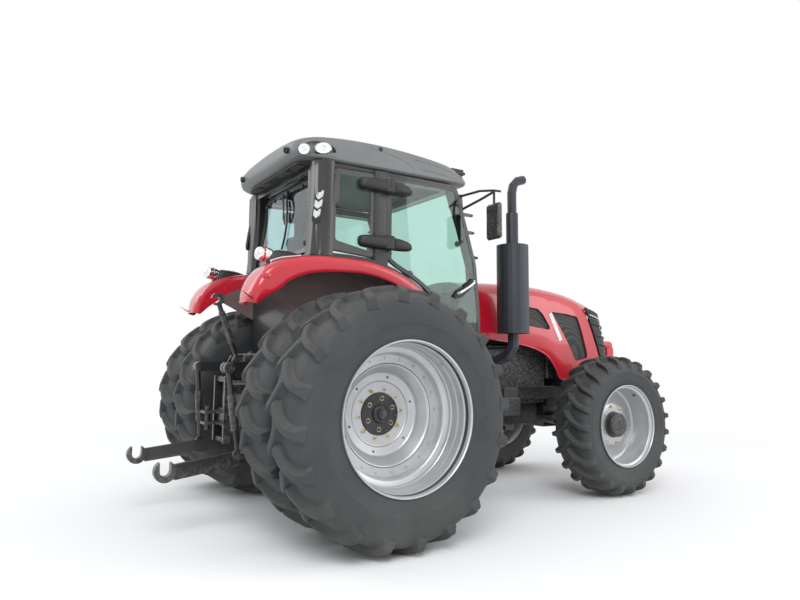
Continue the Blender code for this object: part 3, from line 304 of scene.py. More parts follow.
make_finish("red_paint", ((0.48, 0.005, 0.019), (0.54, 0.008, 0.026)), 0.30, scale=1.3,
            coat=0.75, dust=0.10, low=0.6, grain=0.05, grain_scale=380.0)
make_finish("roof_plastic", ((0.135, 0.145, 0.147), (0.165, 0.175, 0.177)), 0.42, scale=2.0,
            dust=0.22, wear_and_sheen=0.25, bare_and_sheen=(0.26, 0.27, 0.27), grain=0.30, grain_scale=650.0)
make_finish("grey_plastic", ((0.030, 0.031, 0.033), (0.045, 0.046, 0.048)), 0.48, scale=4.0,
            dust=0.20, wear_and_sheen=0.3, bare_and_sheen=(0.12, 0.12, 0.12), grain=0.35, grain_scale=500.0)
make_finish("black_frame", ((0.014, 0.0145, 0.016), (0.022, 0.0225, 0.024)), 0.30, scale=2.0,
            coat=0.25, dust=0.10, grain=0.10, grain_scale=420.0)
make_finish("black_trim", ((0.012, 0.012, 0.013), (0.020, 0.020, 0.021)), 0.50, scale=5.0,
            wear_and_sheen=0.2, bare_and_sheen=(0.07, 0.07, 0.07), grain=0.35, grain_scale=700.0)
make_finish("cast_black", ((0.010, 0.011, 0.013), (0.020, 0.021, 0.023)), 0.34, scale=6.0,
            coat=0.20, dust=0.16, wear_and_sheen=0.45, bare_and_sheen=(0.22, 0.21, 0.20), grain=0.45, grain_scale=260.0)
make_finish("muffler_wrap", ((0.018, 0.022, 0.030), (0.027, 0.032, 0.042)), 0.42, scale=3.0,
            dust=0.08, grain=0.30, grain_scale=220.0, second=(0.5, 9.0, (1.0, 1.0, 5.0)))
make_finish("engine_grey", ((0.016, 0.016, 0.017), (0.034, 0.034, 0.035)), 0.50, metal=0.3,
            scale=7.0, dust=0.22, wear_and_sheen=0.5, bare_and_sheen=(0.25, 0.25, 0.25), grain=0.6, grain_scale=240.0)
make_finish("rim_silver", ((0.46, 0.47, 0.485), (0.55, 0.56, 0.575)), 0.34, metal=0.55, scale=3.0,
            dust=0.10, low=0.8, grain=0.08, grain_scale=300.0)
make_finish("zinc_gold", ((0.52, 0.40, 0.20), (0.66, 0.54, 0.32)), 0.30, metal=0.9, scale=40.0,
            wear_and_sheen=0.5, bare_and_sheen=(0.80, 0.74, 0.60), grain=0.15, grain_scale=400.0)
make_finish("bright_steel", ((0.50, 0.50, 0.50), (0.68, 0.68, 0.68)), 0.24, metal=1.0, scale=12.0,
            grain=0.15, grain_scale=300.0)
make_finish("chrome", ((0.78, 0.79, 0.80), (0.88, 0.89, 0.90)), 0.08, metal=1.0, scale=4.0,
            grain=0.02, grain_scale=200.0)
make_finish("white_strip", ((0.74, 0.68, 0.67), (0.82, 0.77, 0.76)), 0.35, scale=14.0,
            grain=0.10, grain_scale=200.0)
make_finish("lens_clear", ((0.52, 0.53, 0.53), (0.72, 0.73, 0.73)), 0.10, metal=0.25, scale=60.0,
            coat=1.0, grain=0.8, grain_scale=90.0)
make_finish("lens_red", ((0.42, 0.010, 0.012), (0.55, 0.02, 0.02)), 0.12, scale=50.0, coat=1.0,
            grain=0.6, grain_scale=120.0)
make_finish("lens_amber", ((0.70, 0.22, 0.02), (0.80, 0.30, 0.03)), 0.12, scale=50.0, coat=1.0,
            grain=0.6, grain_scale=120.0)
make_finish("vent_mesh", ((0.030, 0.029, 0.029), (0.040, 0.038, 0.038)), 0.55, scale=5.0,
            grain=0.2, grain_scale=500.0, holes=(230.0, 0.36, (0.006, 0.006, 0.006)))
make_finish("arch_liner", ((0.105, 0.070, 0.068), (0.150, 0.105, 0.100)), 0.65, scale=6.0,
            dust=0.3, grain=0.4, grain_scale=200.0, holes=(26.0, 0.12, (0.01, 0.008, 0.008)))
make_finish("seat_fabric", ((0.018, 0.018, 0.020), (0.030, 0.030, 0.033)), 0.88, scale=8.0,
            dust=0.06, grain=1.0, grain_scale=900.0, second=(0.5, 260.0, (1.0, 3.0, 1.0)))
make_finish("cab_trim", ((0.040, 0.041, 0.043), (0.055, 0.056, 0.058)), 0.60, scale=4.0,
            grain=0.5, grain_scale=600.0)
# The tread is black rubber. The blue in its colours is painted sheen of the sky, and its lighter bluish edge colour is
# partly rubbed rubber and partly painted sheen.
make_finish("tread_rubber_painted_sheen", ((0.007, 0.009, 0.012), (0.014, 0.017, 0.021)), 0.40, scale=5.0,
            dust=0.10, low=0.5, wear_and_sheen=0.35, bare_and_sheen=(0.05, 0.055, 0.065), grain=0.35, grain_scale=120.0,
            second=(0.9, 14.0, (1.0, 1.0, 1.0)))
make_finish("sidewall_rubber", ((0.026, 0.029, 0.031), (0.044, 0.047, 0.050)), 0.62, scale=4.0,
            dust=0.16, low=0.7, wear_and_sheen=0.2, bare_and_sheen=(0.08, 0.085, 0.09), grain=1.1, grain_scale=95.0,
            second=(1.6, 30.0, (1.0, 1.0, 1.0)))
print("finishes", sorted(FINISH))

# %% [markdown]
# Window glass is thin and tinted. The side panes of the cab look green against the light.
# The rear pane is given a blue tint, which is painted reflection of the sky. The shader is a
# plain transmitting one, and its slight noise in the colour stands for the film of dust on a parked machine.

# %% Window glass
GLASS_ROUGHNESS = 0.02


def make_glass(name, colours, film=0.10):
    make_finish(name, colours, GLASS_ROUGHNESS, scale=1.5)
    shader = FINISH[name].node_tree.nodes["Principled BSDF"]
    shader.inputs["Transmission Weight"].default_value = 1.0
    shader.inputs["IOR"].default_value = 1.45
    return FINISH[name]


make_glass("side_glass", ((0.56, 0.76, 0.70), (0.62, 0.80, 0.75)))
# The blue of the rear pane is painted reflection of the sky.
make_glass("rear_glass", ((0.56, 0.74, 0.80), (0.62, 0.79, 0.84)))
make_finish("mirror_glass", ((0.10, 0.19, 0.20), (0.14, 0.24, 0.25)), 0.06, metal=0.9, scale=3.0,
            grain=0.02, grain_scale=30.0)
make_finish("frit", ((0.040, 0.037, 0.034), (0.055, 0.051, 0.047)), 0.18, scale=6.0, coat=0.8,
            grain=0.05, grain_scale=200.0)
print(len(FINISH), "finishes in all")
# %% [markdown]
# Every piece below is measured from the ground under the rear axle: x forward, y left
# and z up. The helpers build in a bmesh, which is Blender's editable mesh, and the last
# one hangs the finished piece on its CAD body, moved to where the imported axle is.

# %% Where the machine stands
def middle(node):
    low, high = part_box(node)
    return (Vector(low) + Vector(high)) / 2


REAR_HUB = middle("rear_tyre_outer_right")
REAR_R = REAR_HUB.z
REAR_AXLE_X = REAR_HUB.x
WHEELBASE = middle("front_tyre_right").x - REAR_AXLE_X
FRONT_R = middle("front_tyre_right").z
TO_MACHINE = Matrix.Translation((REAR_AXLE_X, 0, 0))
print("rear hub", REAR_HUB, "wheelbase", round(WHEELBASE, 4))

# %% Mesh helpers
def smooth_line(points, per=6, closed=False):
    """Points on a smooth curve through the given ones, per of them to each stretch."""
    points = [Vector(p) for p in points]
    count = len(points)
    found = []
    for i in range(count if closed else count - 1):
        if closed:
            a, b, c, d = (points[(i + k) % count] for k in (-1, 0, 1, 2))
        else:
            a, b, c, d = (points[min(max(i + k, 0), count - 1)] for k in (-1, 0, 1, 2))
        for step in range(per):
            t = step / per
            found.append(
                0.5 * ((2 * b) + (c - a) * t + (2 * a - 5 * b + 4 * c - d) * t**2 + (3 * b - a - 3 * c + d) * t**3)
            )
    return found if closed else found + [points[-1]]


def loft(bm, rows, around=False, ends=False, index=0):
    """Faces between rows of points. around closes each row, ends caps the first and last."""
    verts = [[bm.verts.new(place) for place in row] for row in rows]
    for first, second in zip(verts, verts[1:]):
        count = len(first)
        for i in range(count if around else count - 1):
            j = (i + 1) % count
            bm.faces.new((first[i], first[j], second[j], second[i])).material_index = index
    if ends:
        bm.faces.new(verts[0]).material_index = index
        bm.faces.new(verts[-1][::-1]).material_index = index
    return verts


def lathe(bm, profile, centre, side=1, steps=96, closed=True, index=0, turn=0.0):
    """A turned ring about a crosswise axle, from (radius, distance outwards) points."""
    rows = []
    for i in range(steps):
        a = turn + 2 * math.pi * i / steps
        rows.append([(centre[0] + r * math.cos(a), centre[1] + side * out, centre[2] + r * math.sin(a)) for r, out in profile])
    verts = [[bm.verts.new(place) for place in row] for row in rows]
    points = len(profile)
    for i in range(steps):
        first, second = verts[i], verts[(i + 1) % steps]
        for j in range(points if closed else points - 1):
            k = (j + 1) % points
            bm.faces.new((first[j], first[k], second[k], second[j])).material_index = index
    if not closed:
        for j in (0, points - 1):
            if profile[j][0] > 0.0005:
                bm.faces.new([row[j] for row in verts]).material_index = index
    return verts


def add_block(bm, x, y, z, round_by=0.004, steps=2, matrix=None, index=0):
    """A box from three (low, high) pairs, with rounded edges."""
    centre = Vector([(low + high) / 2 for low, high in (x, y, z)])
    size = [abs(high - low) for low, high in (x, y, z)]
    place = Matrix.Translation(centre) @ Matrix.Diagonal((*size, 1))
    made = bmesh.ops.create_cube(bm, size=1, matrix=(matrix @ place) if matrix else place)["verts"]
    edges = {edge for vert in made for edge in vert.link_edges}
    faces = {face for vert in made for face in vert.link_faces}
    for face in faces:
        face.material_index = index
    if round_by:
        made = bmesh.ops.bevel(
            bm, geom=list(edges), offset=min(round_by, min(size) * 0.45), segments=steps, affect="EDGES", profile=0.5
        )
        for face in made["faces"]:
            face.material_index = index


def add_rod(bm, start, end, radius, end_radius=None, sides=16, edge=0.0, index=0):
    """A round bar or cone with chamfered ends."""
    start, end = Vector(start), Vector(end)
    along = end - start
    last = radius if end_radius is None else end_radius
    turn = along.to_track_quat("Z", "Y").to_matrix()
    stations = [(0, radius), (along.length, last)]
    if edge:
        stations = [(0, radius - edge), (edge, radius), (along.length - edge, last), (along.length, last - edge)]
    rows = []
    for out, r in stations:
        ring = [Vector((r * math.cos(2 * math.pi * k / sides), r * math.sin(2 * math.pi * k / sides), out)) for k in range(sides)]
        rows.append([start + turn @ place for place in ring])
    loft(bm, rows, around=True, ends=True, index=index)


def add_tube(bm, points, radius, sides=10, per=5, index=0, flat=1.0):
    """A bent round tube along a smooth line through the points; radius may be a list."""
    line = smooth_line(points, per) if per > 1 else [Vector(p) for p in points]
    radii = radius if isinstance(radius, list) else [radius] * len(points)
    rows, up = [], None
    for i, place in enumerate(line):
        ahead = (line[min(i + 1, len(line) - 1)] - line[max(i - 1, 0)]).normalized()
        if up is None:
            up = ahead.orthogonal().normalized()
        up = (up - ahead * up.dot(ahead)).normalized()
        across = ahead.cross(up)
        share = i / max(per, 1)
        low = min(int(share), len(radii) - 1)
        r = radii[low] + (radii[min(low + 1, len(radii) - 1)] - radii[low]) * (share - low)
        rows.append(
            [place + (up * math.cos(2 * math.pi * k / sides) + across * math.sin(2 * math.pi * k / sides) * flat) * r for k in range(sides)]
        )
    loft(bm, rows, around=True, ends=True, index=index)


def add_plate(bm, outline, low, high, axis="y", index=0):
    """A flat outline pushed out along an axis. The outline leaves that axis out."""
    def place(a, b, out):
        return {"x": (out, a, b), "y": (a, out, b), "z": (a, b, out)}[axis]
    loft(bm, [[place(a, b, out) for a, b in outline] for out in (low, high)], around=True, ends=True, index=index)


def add_bolt(bm, place, along, radius=0.009, height=0.008, washer=True, index=0):
    """A hexagon head on a washer, domed at the top."""
    place, along = Vector(place), Vector(along).normalized()
    if washer:
        add_rod(bm, place - along * 0.002, place + along * 0.002, radius * 1.35, sides=14, index=index)
    add_rod(bm, place, place + along * height, radius * 1.1, radius * 1.05, sides=6, edge=height * 0.18, index=index)
    add_rod(bm, place + along * height, place + along * (height * 1.25), radius * 0.72, radius * 0.45, sides=8, index=index)


def rounded(outline, radius=0.02, steps=4):
    """The outline with each corner replaced by a short curve."""
    points = [Vector(p) for p in outline]
    found = []
    for i, corner in enumerate(points):
        before, after = points[i - 1] - corner, points[(i + 1) % len(points)] - corner
        cut = min(radius, before.length * 0.45, after.length * 0.45)
        start, end = corner + before.normalized() * cut, corner + after.normalized() * cut
        for step in range(steps + 1):
            t = step / steps
            found.append(tuple(start * (1 - t) ** 2 + corner * 2 * t * (1 - t) + end * t**2))
    return found


def object_of(bm, name, normals=True):
    if normals:
        bmesh.ops.recalc_face_normals(bm, faces=bm.faces)
    mesh = bpy.data.meshes.new(name)
    bm.to_mesh(mesh)
    bm.free()
    piece = bpy.data.objects.new(name, mesh)
    bpy.context.scene.collection.objects.link(piece)
    return piece


def applied(piece):
    """Gives the piece the mesh that its modifiers make, and clears them."""
    bpy.context.view_layer.update()
    graph = bpy.context.evaluated_depsgraph_get()
    mesh = bpy.data.meshes.new_from_object(piece.evaluated_get(graph))
    piece.modifiers.clear()
    piece.data = mesh
    return piece


def carve(piece, cutter, operation="DIFFERENCE"):
    """Cuts one closed mesh from another, exactly."""
    modifier = piece.modifiers.new("carve", "BOOLEAN")
    modifier.operation = operation
    modifier.solver = "EXACT"
    modifier.object = cutter
    applied(piece)
    bpy.data.objects.remove(cutter)
    return piece


def shell(piece, thickness, outward=-1.0):
    modifier = piece.modifiers.new("shell", "SOLIDIFY")
    modifier.thickness = thickness
    modifier.offset = outward
    modifier.use_even_offset = True
    return applied(piece)


def hang(piece, finish, body, angle=35, replace=()):
    """Smooths, finishes and places a piece, and ties it to its CAD body."""
    mesh = piece.data
    mesh.transform(TO_MACHINE)
    mesh.name = piece.name
    names = [finish] if isinstance(finish, str) else finish
    mesh.materials.clear()
    for name in names:
        mesh.materials.append(FINISH[name])
    mesh.polygons.foreach_set("use_smooth", [True] * len(mesh.polygons))
    mesh.set_sharp_from_angle(angle=math.radians(angle))
    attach(piece, body)
    if replace:
        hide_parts(*replace)
    return piece


def finished(bm, name, finish, body, angle=35, replace=()):
    return hang(object_of(bm, name), finish, body, angle, replace)


def count_of(*pieces):
    return sum(len(piece.data.polygons) for piece in pieces)


print("helpers ready")
# %% [markdown]
# A tractor tyre is a wide carcass with tall lugs in a herringbone. Each lug starts near the
# middle of the tread, curves out to the shoulder and runs a little way down the sidewall,
# and the lugs of the other side stand between them. The carcass is turned from a section.
# Each lug is lofted: a hump-shaped cross-section travels along a curve on the carcass,
# with a soft fillet at its foot, so no cutting or joining is needed.

# %% The tread and the lugs
REAR_TYRE = {
    "half_width": 0.2195,  # the lugs end flush with the sidewall, inside the CAD tyre
    "section": [  # radius and distance from the middle, from the crown to the bead
        (0.838, 0.0), (0.836, 0.06), (0.830, 0.115), (0.817, 0.165), (0.796, 0.195), (0.770, 0.209),
        (0.735, 0.2165), (0.690, 0.2185), (0.645, 0.2165), (0.600, 0.209), (0.560, 0.200), (0.530, 0.1935),
        (0.512, 0.190),
    ],
    "bead": [(0.502, 0.186), (0.492, 0.172), (0.492, 0.14)],
    "tread_ends": 0.225,
    "lugs": 20,
    "top": 0.0205, "foot": 0.033, "fillet": 0.020, "height": 0.0465,
    # along the tyre's width over the section, then round the wheel, in metres
    "line": [(-0.034, -0.008), (-0.018, 0.016), (0.020, 0.074), (0.075, 0.124), (0.138, 0.158), (0.192, 0.176), (0.222, 0.184), (0.247, 0.190)],
    "heights": [0.70, 1.0, 1.0, 0.99, 0.97, 0.96, 0.86, 0.20],
    "widths": [0.80, 1.0, 1.0, 1.0, 1.04, 1.18, 1.38, 1.50],
    "dips": [0.0, 0.0, 0.0, 0.0, 0.0, 0.10, 0.50, 0.75],
    "rings": [(0.655, 0.006, 0.0022), (0.628, 0.004, 0.0030), (0.545, 0.005, 0.0030)],
}
FRONT_TYRE = {
    "half_width": 0.2048,
    "section": [
        (0.617, 0.0), (0.616, 0.055), (0.612, 0.105), (0.602, 0.148), (0.584, 0.178), (0.560, 0.194),
        (0.530, 0.2025), (0.495, 0.2035), (0.460, 0.199), (0.430, 0.192), (0.405, 0.186), (0.390, 0.182),
    ],
    "bead": [(0.380, 0.178), (0.370, 0.165), (0.370, 0.13)],
    "tread_ends": 0.205,
    "lugs": 23,
    "top": 0.0130, "foot": 0.021, "fillet": 0.014, "height": 0.0425,
    "line": [(-0.030, -0.014), (-0.020, 0.004), (0.012, 0.044), (0.060, 0.084), (0.115, 0.114), (0.170, 0.132), (0.202, 0.139), (0.224, 0.143)],
    "heights": [0.55, 1.0, 1.0, 0.99, 0.98, 0.94, 0.80, 0.15],
    "widths": [0.85, 1.25, 1.05, 1.0, 1.0, 1.15, 1.35, 1.45],
    "dips": [0.0, 0.0, 0.0, 0.0, 0.0, 0.05, 0.30, 0.50],
    "rings": [(0.505, 0.005, 0.0025), (0.425, 0.006, 0.0030)],
}


class Section:
    """A half section that can be asked for its point and outward normal at any length."""

    def __init__(self, points):
        self.line = [Vector((p.x, p.y)) for p in smooth_line([(r, y, 0) for r, y in points], 6)]
        self.lengths = [0.0]
        for before, after in zip(self.line, self.line[1:]):
            self.lengths.append(self.lengths[-1] + (after - before).length)

    def at(self, length):
        side = -1 if length < 0 else 1
        length = min(abs(length), self.lengths[-1])
        i = 0
        while i < len(self.lengths) - 2 and self.lengths[i + 1] < length:
            i += 1
        share = (length - self.lengths[i]) / (self.lengths[i + 1] - self.lengths[i])
        place = self.line[i].lerp(self.line[i + 1], share)
        along = (self.line[i + 1] - self.line[i]).normalized()
        normal = Vector((along.y, -along.x))
        return (place.x, side * place.y), (normal.x, side * normal.y)


def lug_section(tyre, dip):
    """(share of width, height) pairs across a lug, foot to foot under the carcass."""
    top, foot, fillet = tyre["top"], tyre["foot"], tyre["fillet"]
    half = [
        (foot + fillet, -0.10), (foot + fillet * 0.72, 0.012), (foot + fillet * 0.34, 0.075), (foot, 0.20),
        ((foot + top) / 2 + 0.001, 0.58), (top + 0.0016, 0.90), (top - 0.0012, 0.982), (top - 0.006, 1.0),
    ]
    middle_point = [(0.0, 1.0 - dip)]
    return half + middle_point + [(-w, h) for w, h in half[::-1]]


def add_lug(bm, tyre, section, centre, start, side, turn_radius):
    stations = smooth_line([(s, u, 0) for s, u in tyre["line"]], 3)
    rows = []
    for i, station in enumerate(stations):
        share = i / 3
        low = min(int(share), len(tyre["line"]) - 1)
        high, part = min(low + 1, len(tyre["line"]) - 1), share - low
        height, width, dip = (
            tyre[key][low] + (tyre[key][high] - tyre[key][low]) * part for key in ("heights", "widths", "dips")
        )
        ahead = (stations[min(i + 1, len(stations) - 1)] - stations[max(i - 1, 0)]).normalized()
        across = Vector((-ahead.y, ahead.x))
        row = []
        for w, h in lug_section(tyre, dip):
            s, u = station.x + across.x * w * width, station.y + across.y * w * width
            (r, y), (normal_r, normal_y) = section.at(s)
            rise = tyre["height"] * (h * height if h > 0 else h)
            a = start + u / turn_radius
            r, y = r + normal_r * rise, y + normal_y * rise
            y = max(-tyre["half_width"], min(tyre["half_width"], y))
            row.append((centre[0] + r * math.cos(a), centre[1] + side * y, centre[2] + r * math.sin(a)))
        rows.append(row)
    loft(bm, rows, around=True, ends=True, index=1)


def make_tyre(name, tyre, centre, body, node, phase=0.0):
    section = Section(tyre["section"])
    outline = []
    for i in range(45):
        length = section.lengths[-1] * i / 44
        (r, y), (normal_r, normal_y) = section.at(length)
        for ring_r, half, rise in tyre["rings"]:
            if length > tyre["tread_ends"] and abs(r - ring_r) < half * 1.5:
                r, y = r + normal_r * rise, y + normal_y * rise
        outline.append((r, y))
    outline += tyre["bead"]
    outline = [(r, -y) for r, y in outline[::-1]] + outline[1:]
    bm = bmesh.new()
    rows = lathe(bm, outline, centre, steps=144)
    for face in bm.faces:
        place = face.calc_center_median()
        out = math.hypot(place.x - centre[0], place.z - centre[2])
        if out > section.at(tyre["tread_ends"])[0][0]:
            face.material_index = 1
    turn_radius = section.line[0].x
    pitch = 2 * math.pi / tyre["lugs"]
    for i in range(tyre["lugs"]):
        for side, share in ((1, 0.0), (-1, 0.5)):
            add_lug(bm, tyre, section, centre, phase + (i + share) * pitch, side, turn_radius)
    return finished(bm, name, ["sidewall_rubber", "tread_rubber_painted_sheen"], body, 40, [node])


tyres = []
for name, side in SIDES:
    for place, phase in (("inner", 0.11), ("outer", 0.03)):
        hub = middle(f"rear_tyre_{place}_{name}")
        centre = (0, hub.y, hub.z)
        tyres.append(make_tyre(f"lugged_rear_tyre_{place}_{name}", REAR_TYRE, centre, f"rear_wheels_{name}", f"rear_tyre_{place}_{name}", phase))
    hub = middle(f"front_tyre_{name}")
    tyres.append(make_tyre(f"lugged_front_tyre_{name}", FRONT_TYRE, (WHEELBASE, hub.y, hub.z), f"front_wheel_{name}", f"front_tyre_{name}", 0.05))
print(len(tyres), "tyres with", count_of(*tyres), "faces")

# %% [markdown]
# A rear rim is a rolled barrel with a flange at each edge, a seat for each bead and a well
# between them. A ring with a circle of small bolts is welded into the barrel and carries
# the dished disc. The disc has a raised ring, six holes drawn as black discs of painted shade,
# and a circle of nuts around the hub. All of it is turned from sections, so every step catches the light as a clean
# ring.

# %% Rear rims
RIM_STEPS = 128
REAR_OUT_Y = abs(middle("rear_tyre_outer_right").y)
REAR_IN_Y = abs(middle("rear_tyre_inner_right").y)
HOUSING_END = 0.602      # where the rear axle housing stops

REAR_BARREL = [  # bore side from the outer edge to the inner one, then back under the tyre
    (0.5095, 0.2045), (0.5045, 0.2052), (0.500, 0.202), (0.4965, 0.195), (0.4945, 0.178), (0.494, 0.150),
    (0.490, 0.141), (0.4855, 0.137), (0.4835, 0.128), (0.4825, 0.085), (0.480, 0.078), (0.4765, 0.074),
    (0.475, 0.066), (0.474, 0.022), (0.471, 0.014), (0.466, 0.010), (0.464, 0.0), (0.464, -0.07),
    (0.470, -0.09), (0.476, -0.12), (0.480, -0.165), (0.490, -0.185), (0.500, -0.198), (0.508, -0.204),
    (0.514, -0.203), (0.512, -0.193), (0.494, -0.175), (0.486, -0.12), (0.472, -0.08), (0.472, 0.0),
    (0.482, 0.03), (0.486, 0.09), (0.492, 0.135), (0.500, 0.150), (0.503, 0.185), (0.5125, 0.194),
]
BOLT_RING = [  # welded into the barrel, carrying the disc
    (0.4660, -0.012), (0.4360, -0.018), (0.4255, -0.026), (0.4210, -0.040), (0.4190, -0.072),
    (0.4120, -0.083), (0.3560, -0.0865), (0.3535, -0.092), (0.3535, -0.110), (0.360, -0.110),
    (0.420, -0.104), (0.430, -0.060), (0.440, -0.036), (0.466, -0.028),
]
OUTER_DISC = [  # from its edge in the ring to the hub, then back behind
    (0.3500, -0.0885), (0.3420, -0.0915), (0.3340, -0.102), (0.3040, -0.150), (0.2960, -0.164), (0.2920, -0.174),
    (0.2860, -0.181), (0.2780, -0.1845), (0.2360, -0.1870), (0.2310, -0.1890), (0.2280, -0.1950), (0.2230, -0.2000),
    (0.2150, -0.2020), (0.1500, -0.2010), (0.1500, -0.2140), (0.2260, -0.2140), (0.2400, -0.1990), (0.2900, -0.1960),
    (0.3060, -0.170), (0.3380, -0.118), (0.3500, -0.104),
]
HUB_PLATE = [
    (0.0, -0.150), (0.028, -0.150), (0.034, -0.153), (0.040, -0.166), (0.060, -0.170), (0.066, -0.176),
    (0.068, -0.186), (0.092, -0.1875), (0.140, -0.1875), (0.1460, -0.1900), (0.1480, -0.1960), (0.1480, -0.2160),
    (0.0, -0.2160),
]


def ring_of(count, radius, centre, side, out, turn=0.0):
    """Places round a wheel's axle, with the outward direction."""
    for i in range(count):
        a = turn + 2 * math.pi * i / count
        yield Vector((centre[0] + radius * math.cos(a), centre[1] + side * out, centre[2] + radius * math.sin(a)))


def make_rear_rims(name, side):
    body = f"rear_wheels_{name}"
    outer = (0, side * REAR_OUT_Y, REAR_R)
    inner = (0, side * REAR_IN_Y, REAR_R)
    away = Vector((0, side, 0))
    bm = bmesh.new()
    lathe(bm, REAR_BARREL, outer, side, RIM_STEPS)
    lathe(bm, BOLT_RING, outer, side, RIM_STEPS)
    lathe(bm, OUTER_DISC, outer, side, RIM_STEPS)
    lathe(bm, REAR_BARREL, inner, side, RIM_STEPS)
    inner_disc = [(0.466, -0.085), (0.30, -0.095), (0.18, -0.110), (0.10, -0.112), (0.10, -0.124), (0.18, -0.124), (0.30, -0.108), (0.466, -0.098)]
    lathe(bm, inner_disc, inner, side, RIM_STEPS)
    rims = finished(bm, f"rolled_rims_{name}", "rim_silver", body, 40, [f"rear_rims_{name}"])

    bm = bmesh.new()
    for place in ring_of(20, 0.3900, outer, side, -0.0845, 0.08):
        add_rod(bm, place, place + away * 0.010, 0.0085, 0.0065, 10, 0.0015)
    valve = Vector((0.330, outer[1] + side * 0.085, REAR_R + 0.346))
    inward = (Vector((0, outer[1], REAR_R)) - Vector((valve.x, outer[1], valve.z))).normalized()
    add_rod(bm, valve, valve + inward * 0.020, 0.010, 0.009, 12, 0.002)
    add_rod(bm, valve + inward * 0.018, valve + inward * 0.020 + away * 0.042, 0.0045, 0.0035, 10)
    small = finished(bm, f"rim_ring_bolts_{name}", "bright_steel", body)

    bm = bmesh.new()
    for i, place in enumerate(ring_of(10, 0.1700, outer, side, -0.2012, 0.10)):
        big = i % 3 == 0
        add_rod(bm, place, place + away * 0.004, 0.0165 if big else 0.013, sides=18)
        add_rod(bm, place, place + away * 0.017, 0.0135 if big else 0.0095, 0.0125 if big else 0.009, 6, 0.002)
        add_rod(bm, place + away * 0.016, place + away * (0.027 if big else 0.024), 0.010 if big else 0.007, 0.005, 12, 0.001)
    for place in ring_of(6, 0.1080, outer, side, -0.1880, 0.42):
        lathe(bm, [(0.0165, 0.0), (0.0165, 0.003), (0.0125, 0.003), (0.0125, 0.0)], place, side, 20)
    nuts = finished(bm, f"gold_nuts_{name}", "zinc_gold", body)

    bm = bmesh.new()
    lathe(bm, HUB_PLATE, outer, side, 64, closed=False)
    for place in ring_of(6, 0.1080, outer, side, -0.1880, 0.42):
        add_rod(bm, place, place + away * 0.014, 0.0105, 0.0098, 6, 0.0015)
    for place in ring_of(6, 0.128, outer, side, -0.1880, 0.94):
        add_rod(bm, place - away * 0.004, place + away * 0.003, 0.006, sides=10)
    # Six black discs on the flat ring of the disc stand for its holes; their black is painted shade seen through the
    # holes.
    for place in ring_of(6, 0.2600, outer, side, -0.1862, 0.31):
        add_rod(bm, place - away * 0.002, place + away * 0.0012, 0.0088, sides=18)
    bar = [(0.0, -0.2160), (0.060, -0.2160), (0.064, -0.2180), (0.064, HOUSING_END - REAR_OUT_Y), (0.0, HOUSING_END - REAR_OUT_Y)]
    lathe(bm, bar, outer, side, 40, closed=False)
    lathe(bm, [(0.105, -0.070), (0.150, -0.090), (0.158, -0.125), (0.060, -0.150), (0.060, -0.070)], inner, side, 48)
    hub = finished(bm, f"hub_and_axle_{name}", "cast_black", body)
    return rims, small, nuts, hub


for name, side in SIDES:
    print("rear rims", name, "faces", count_of(*make_rear_rims(name, side)))

# %% [markdown]
# A front rim is deeper than it looks: the bright barrel runs far in before the disc closes
# it, and the black drum of the final drive stands out of the disc towards the eye. The
# drum's cap has a plain pattern of raised ribs.

# %% Front rims
FRONT_Y = abs(middle("front_tyre_right").y)
FRONT_BARREL = [
    (0.3835, 0.1975), (0.3795, 0.1982), (0.3760, 0.1955), (0.3735, 0.190), (0.3715, 0.176), (0.3640, 0.170),
    (0.3560, 0.168), (0.3520, 0.163), (0.3500, 0.150), (0.3490, 0.118), (0.3480, 0.0), (0.3470, -0.030),
    (0.3490, -0.12), (0.3540, -0.155), (0.3640, -0.172), (0.3740, -0.190), (0.3800, -0.1975),
    (0.3860, -0.1965), (0.3840, -0.186), (0.3660, -0.165), (0.3560, -0.13), (0.3550, 0.0), (0.3560, 0.12),
    (0.3620, 0.158), (0.3760, 0.170), (0.3800, 0.185), (0.3860, 0.189),
]
FRONT_DISC = [
    (0.3480, -0.020), (0.3400, -0.024), (0.3320, -0.030), (0.3200, -0.031), (0.2700, -0.024), (0.2300, -0.006),
    (0.2050, 0.010), (0.1960, 0.016), (0.1600, 0.0185), (0.1000, 0.0185), (0.1000, 0.0105), (0.1600, 0.0105),
    (0.2000, 0.0), (0.2300, -0.018), (0.2700, -0.036), (0.3300, -0.042), (0.3480, -0.034),
]
FRONT_CAP = [
    (0.0, 0.0900), (0.070, 0.0900), (0.096, 0.0895), (0.106, 0.0870), (0.1125, 0.0810), (0.1150, 0.0730),
    (0.1165, 0.030), (0.124, 0.024), (0.124, 0.0150), (0.0, 0.0150),
]


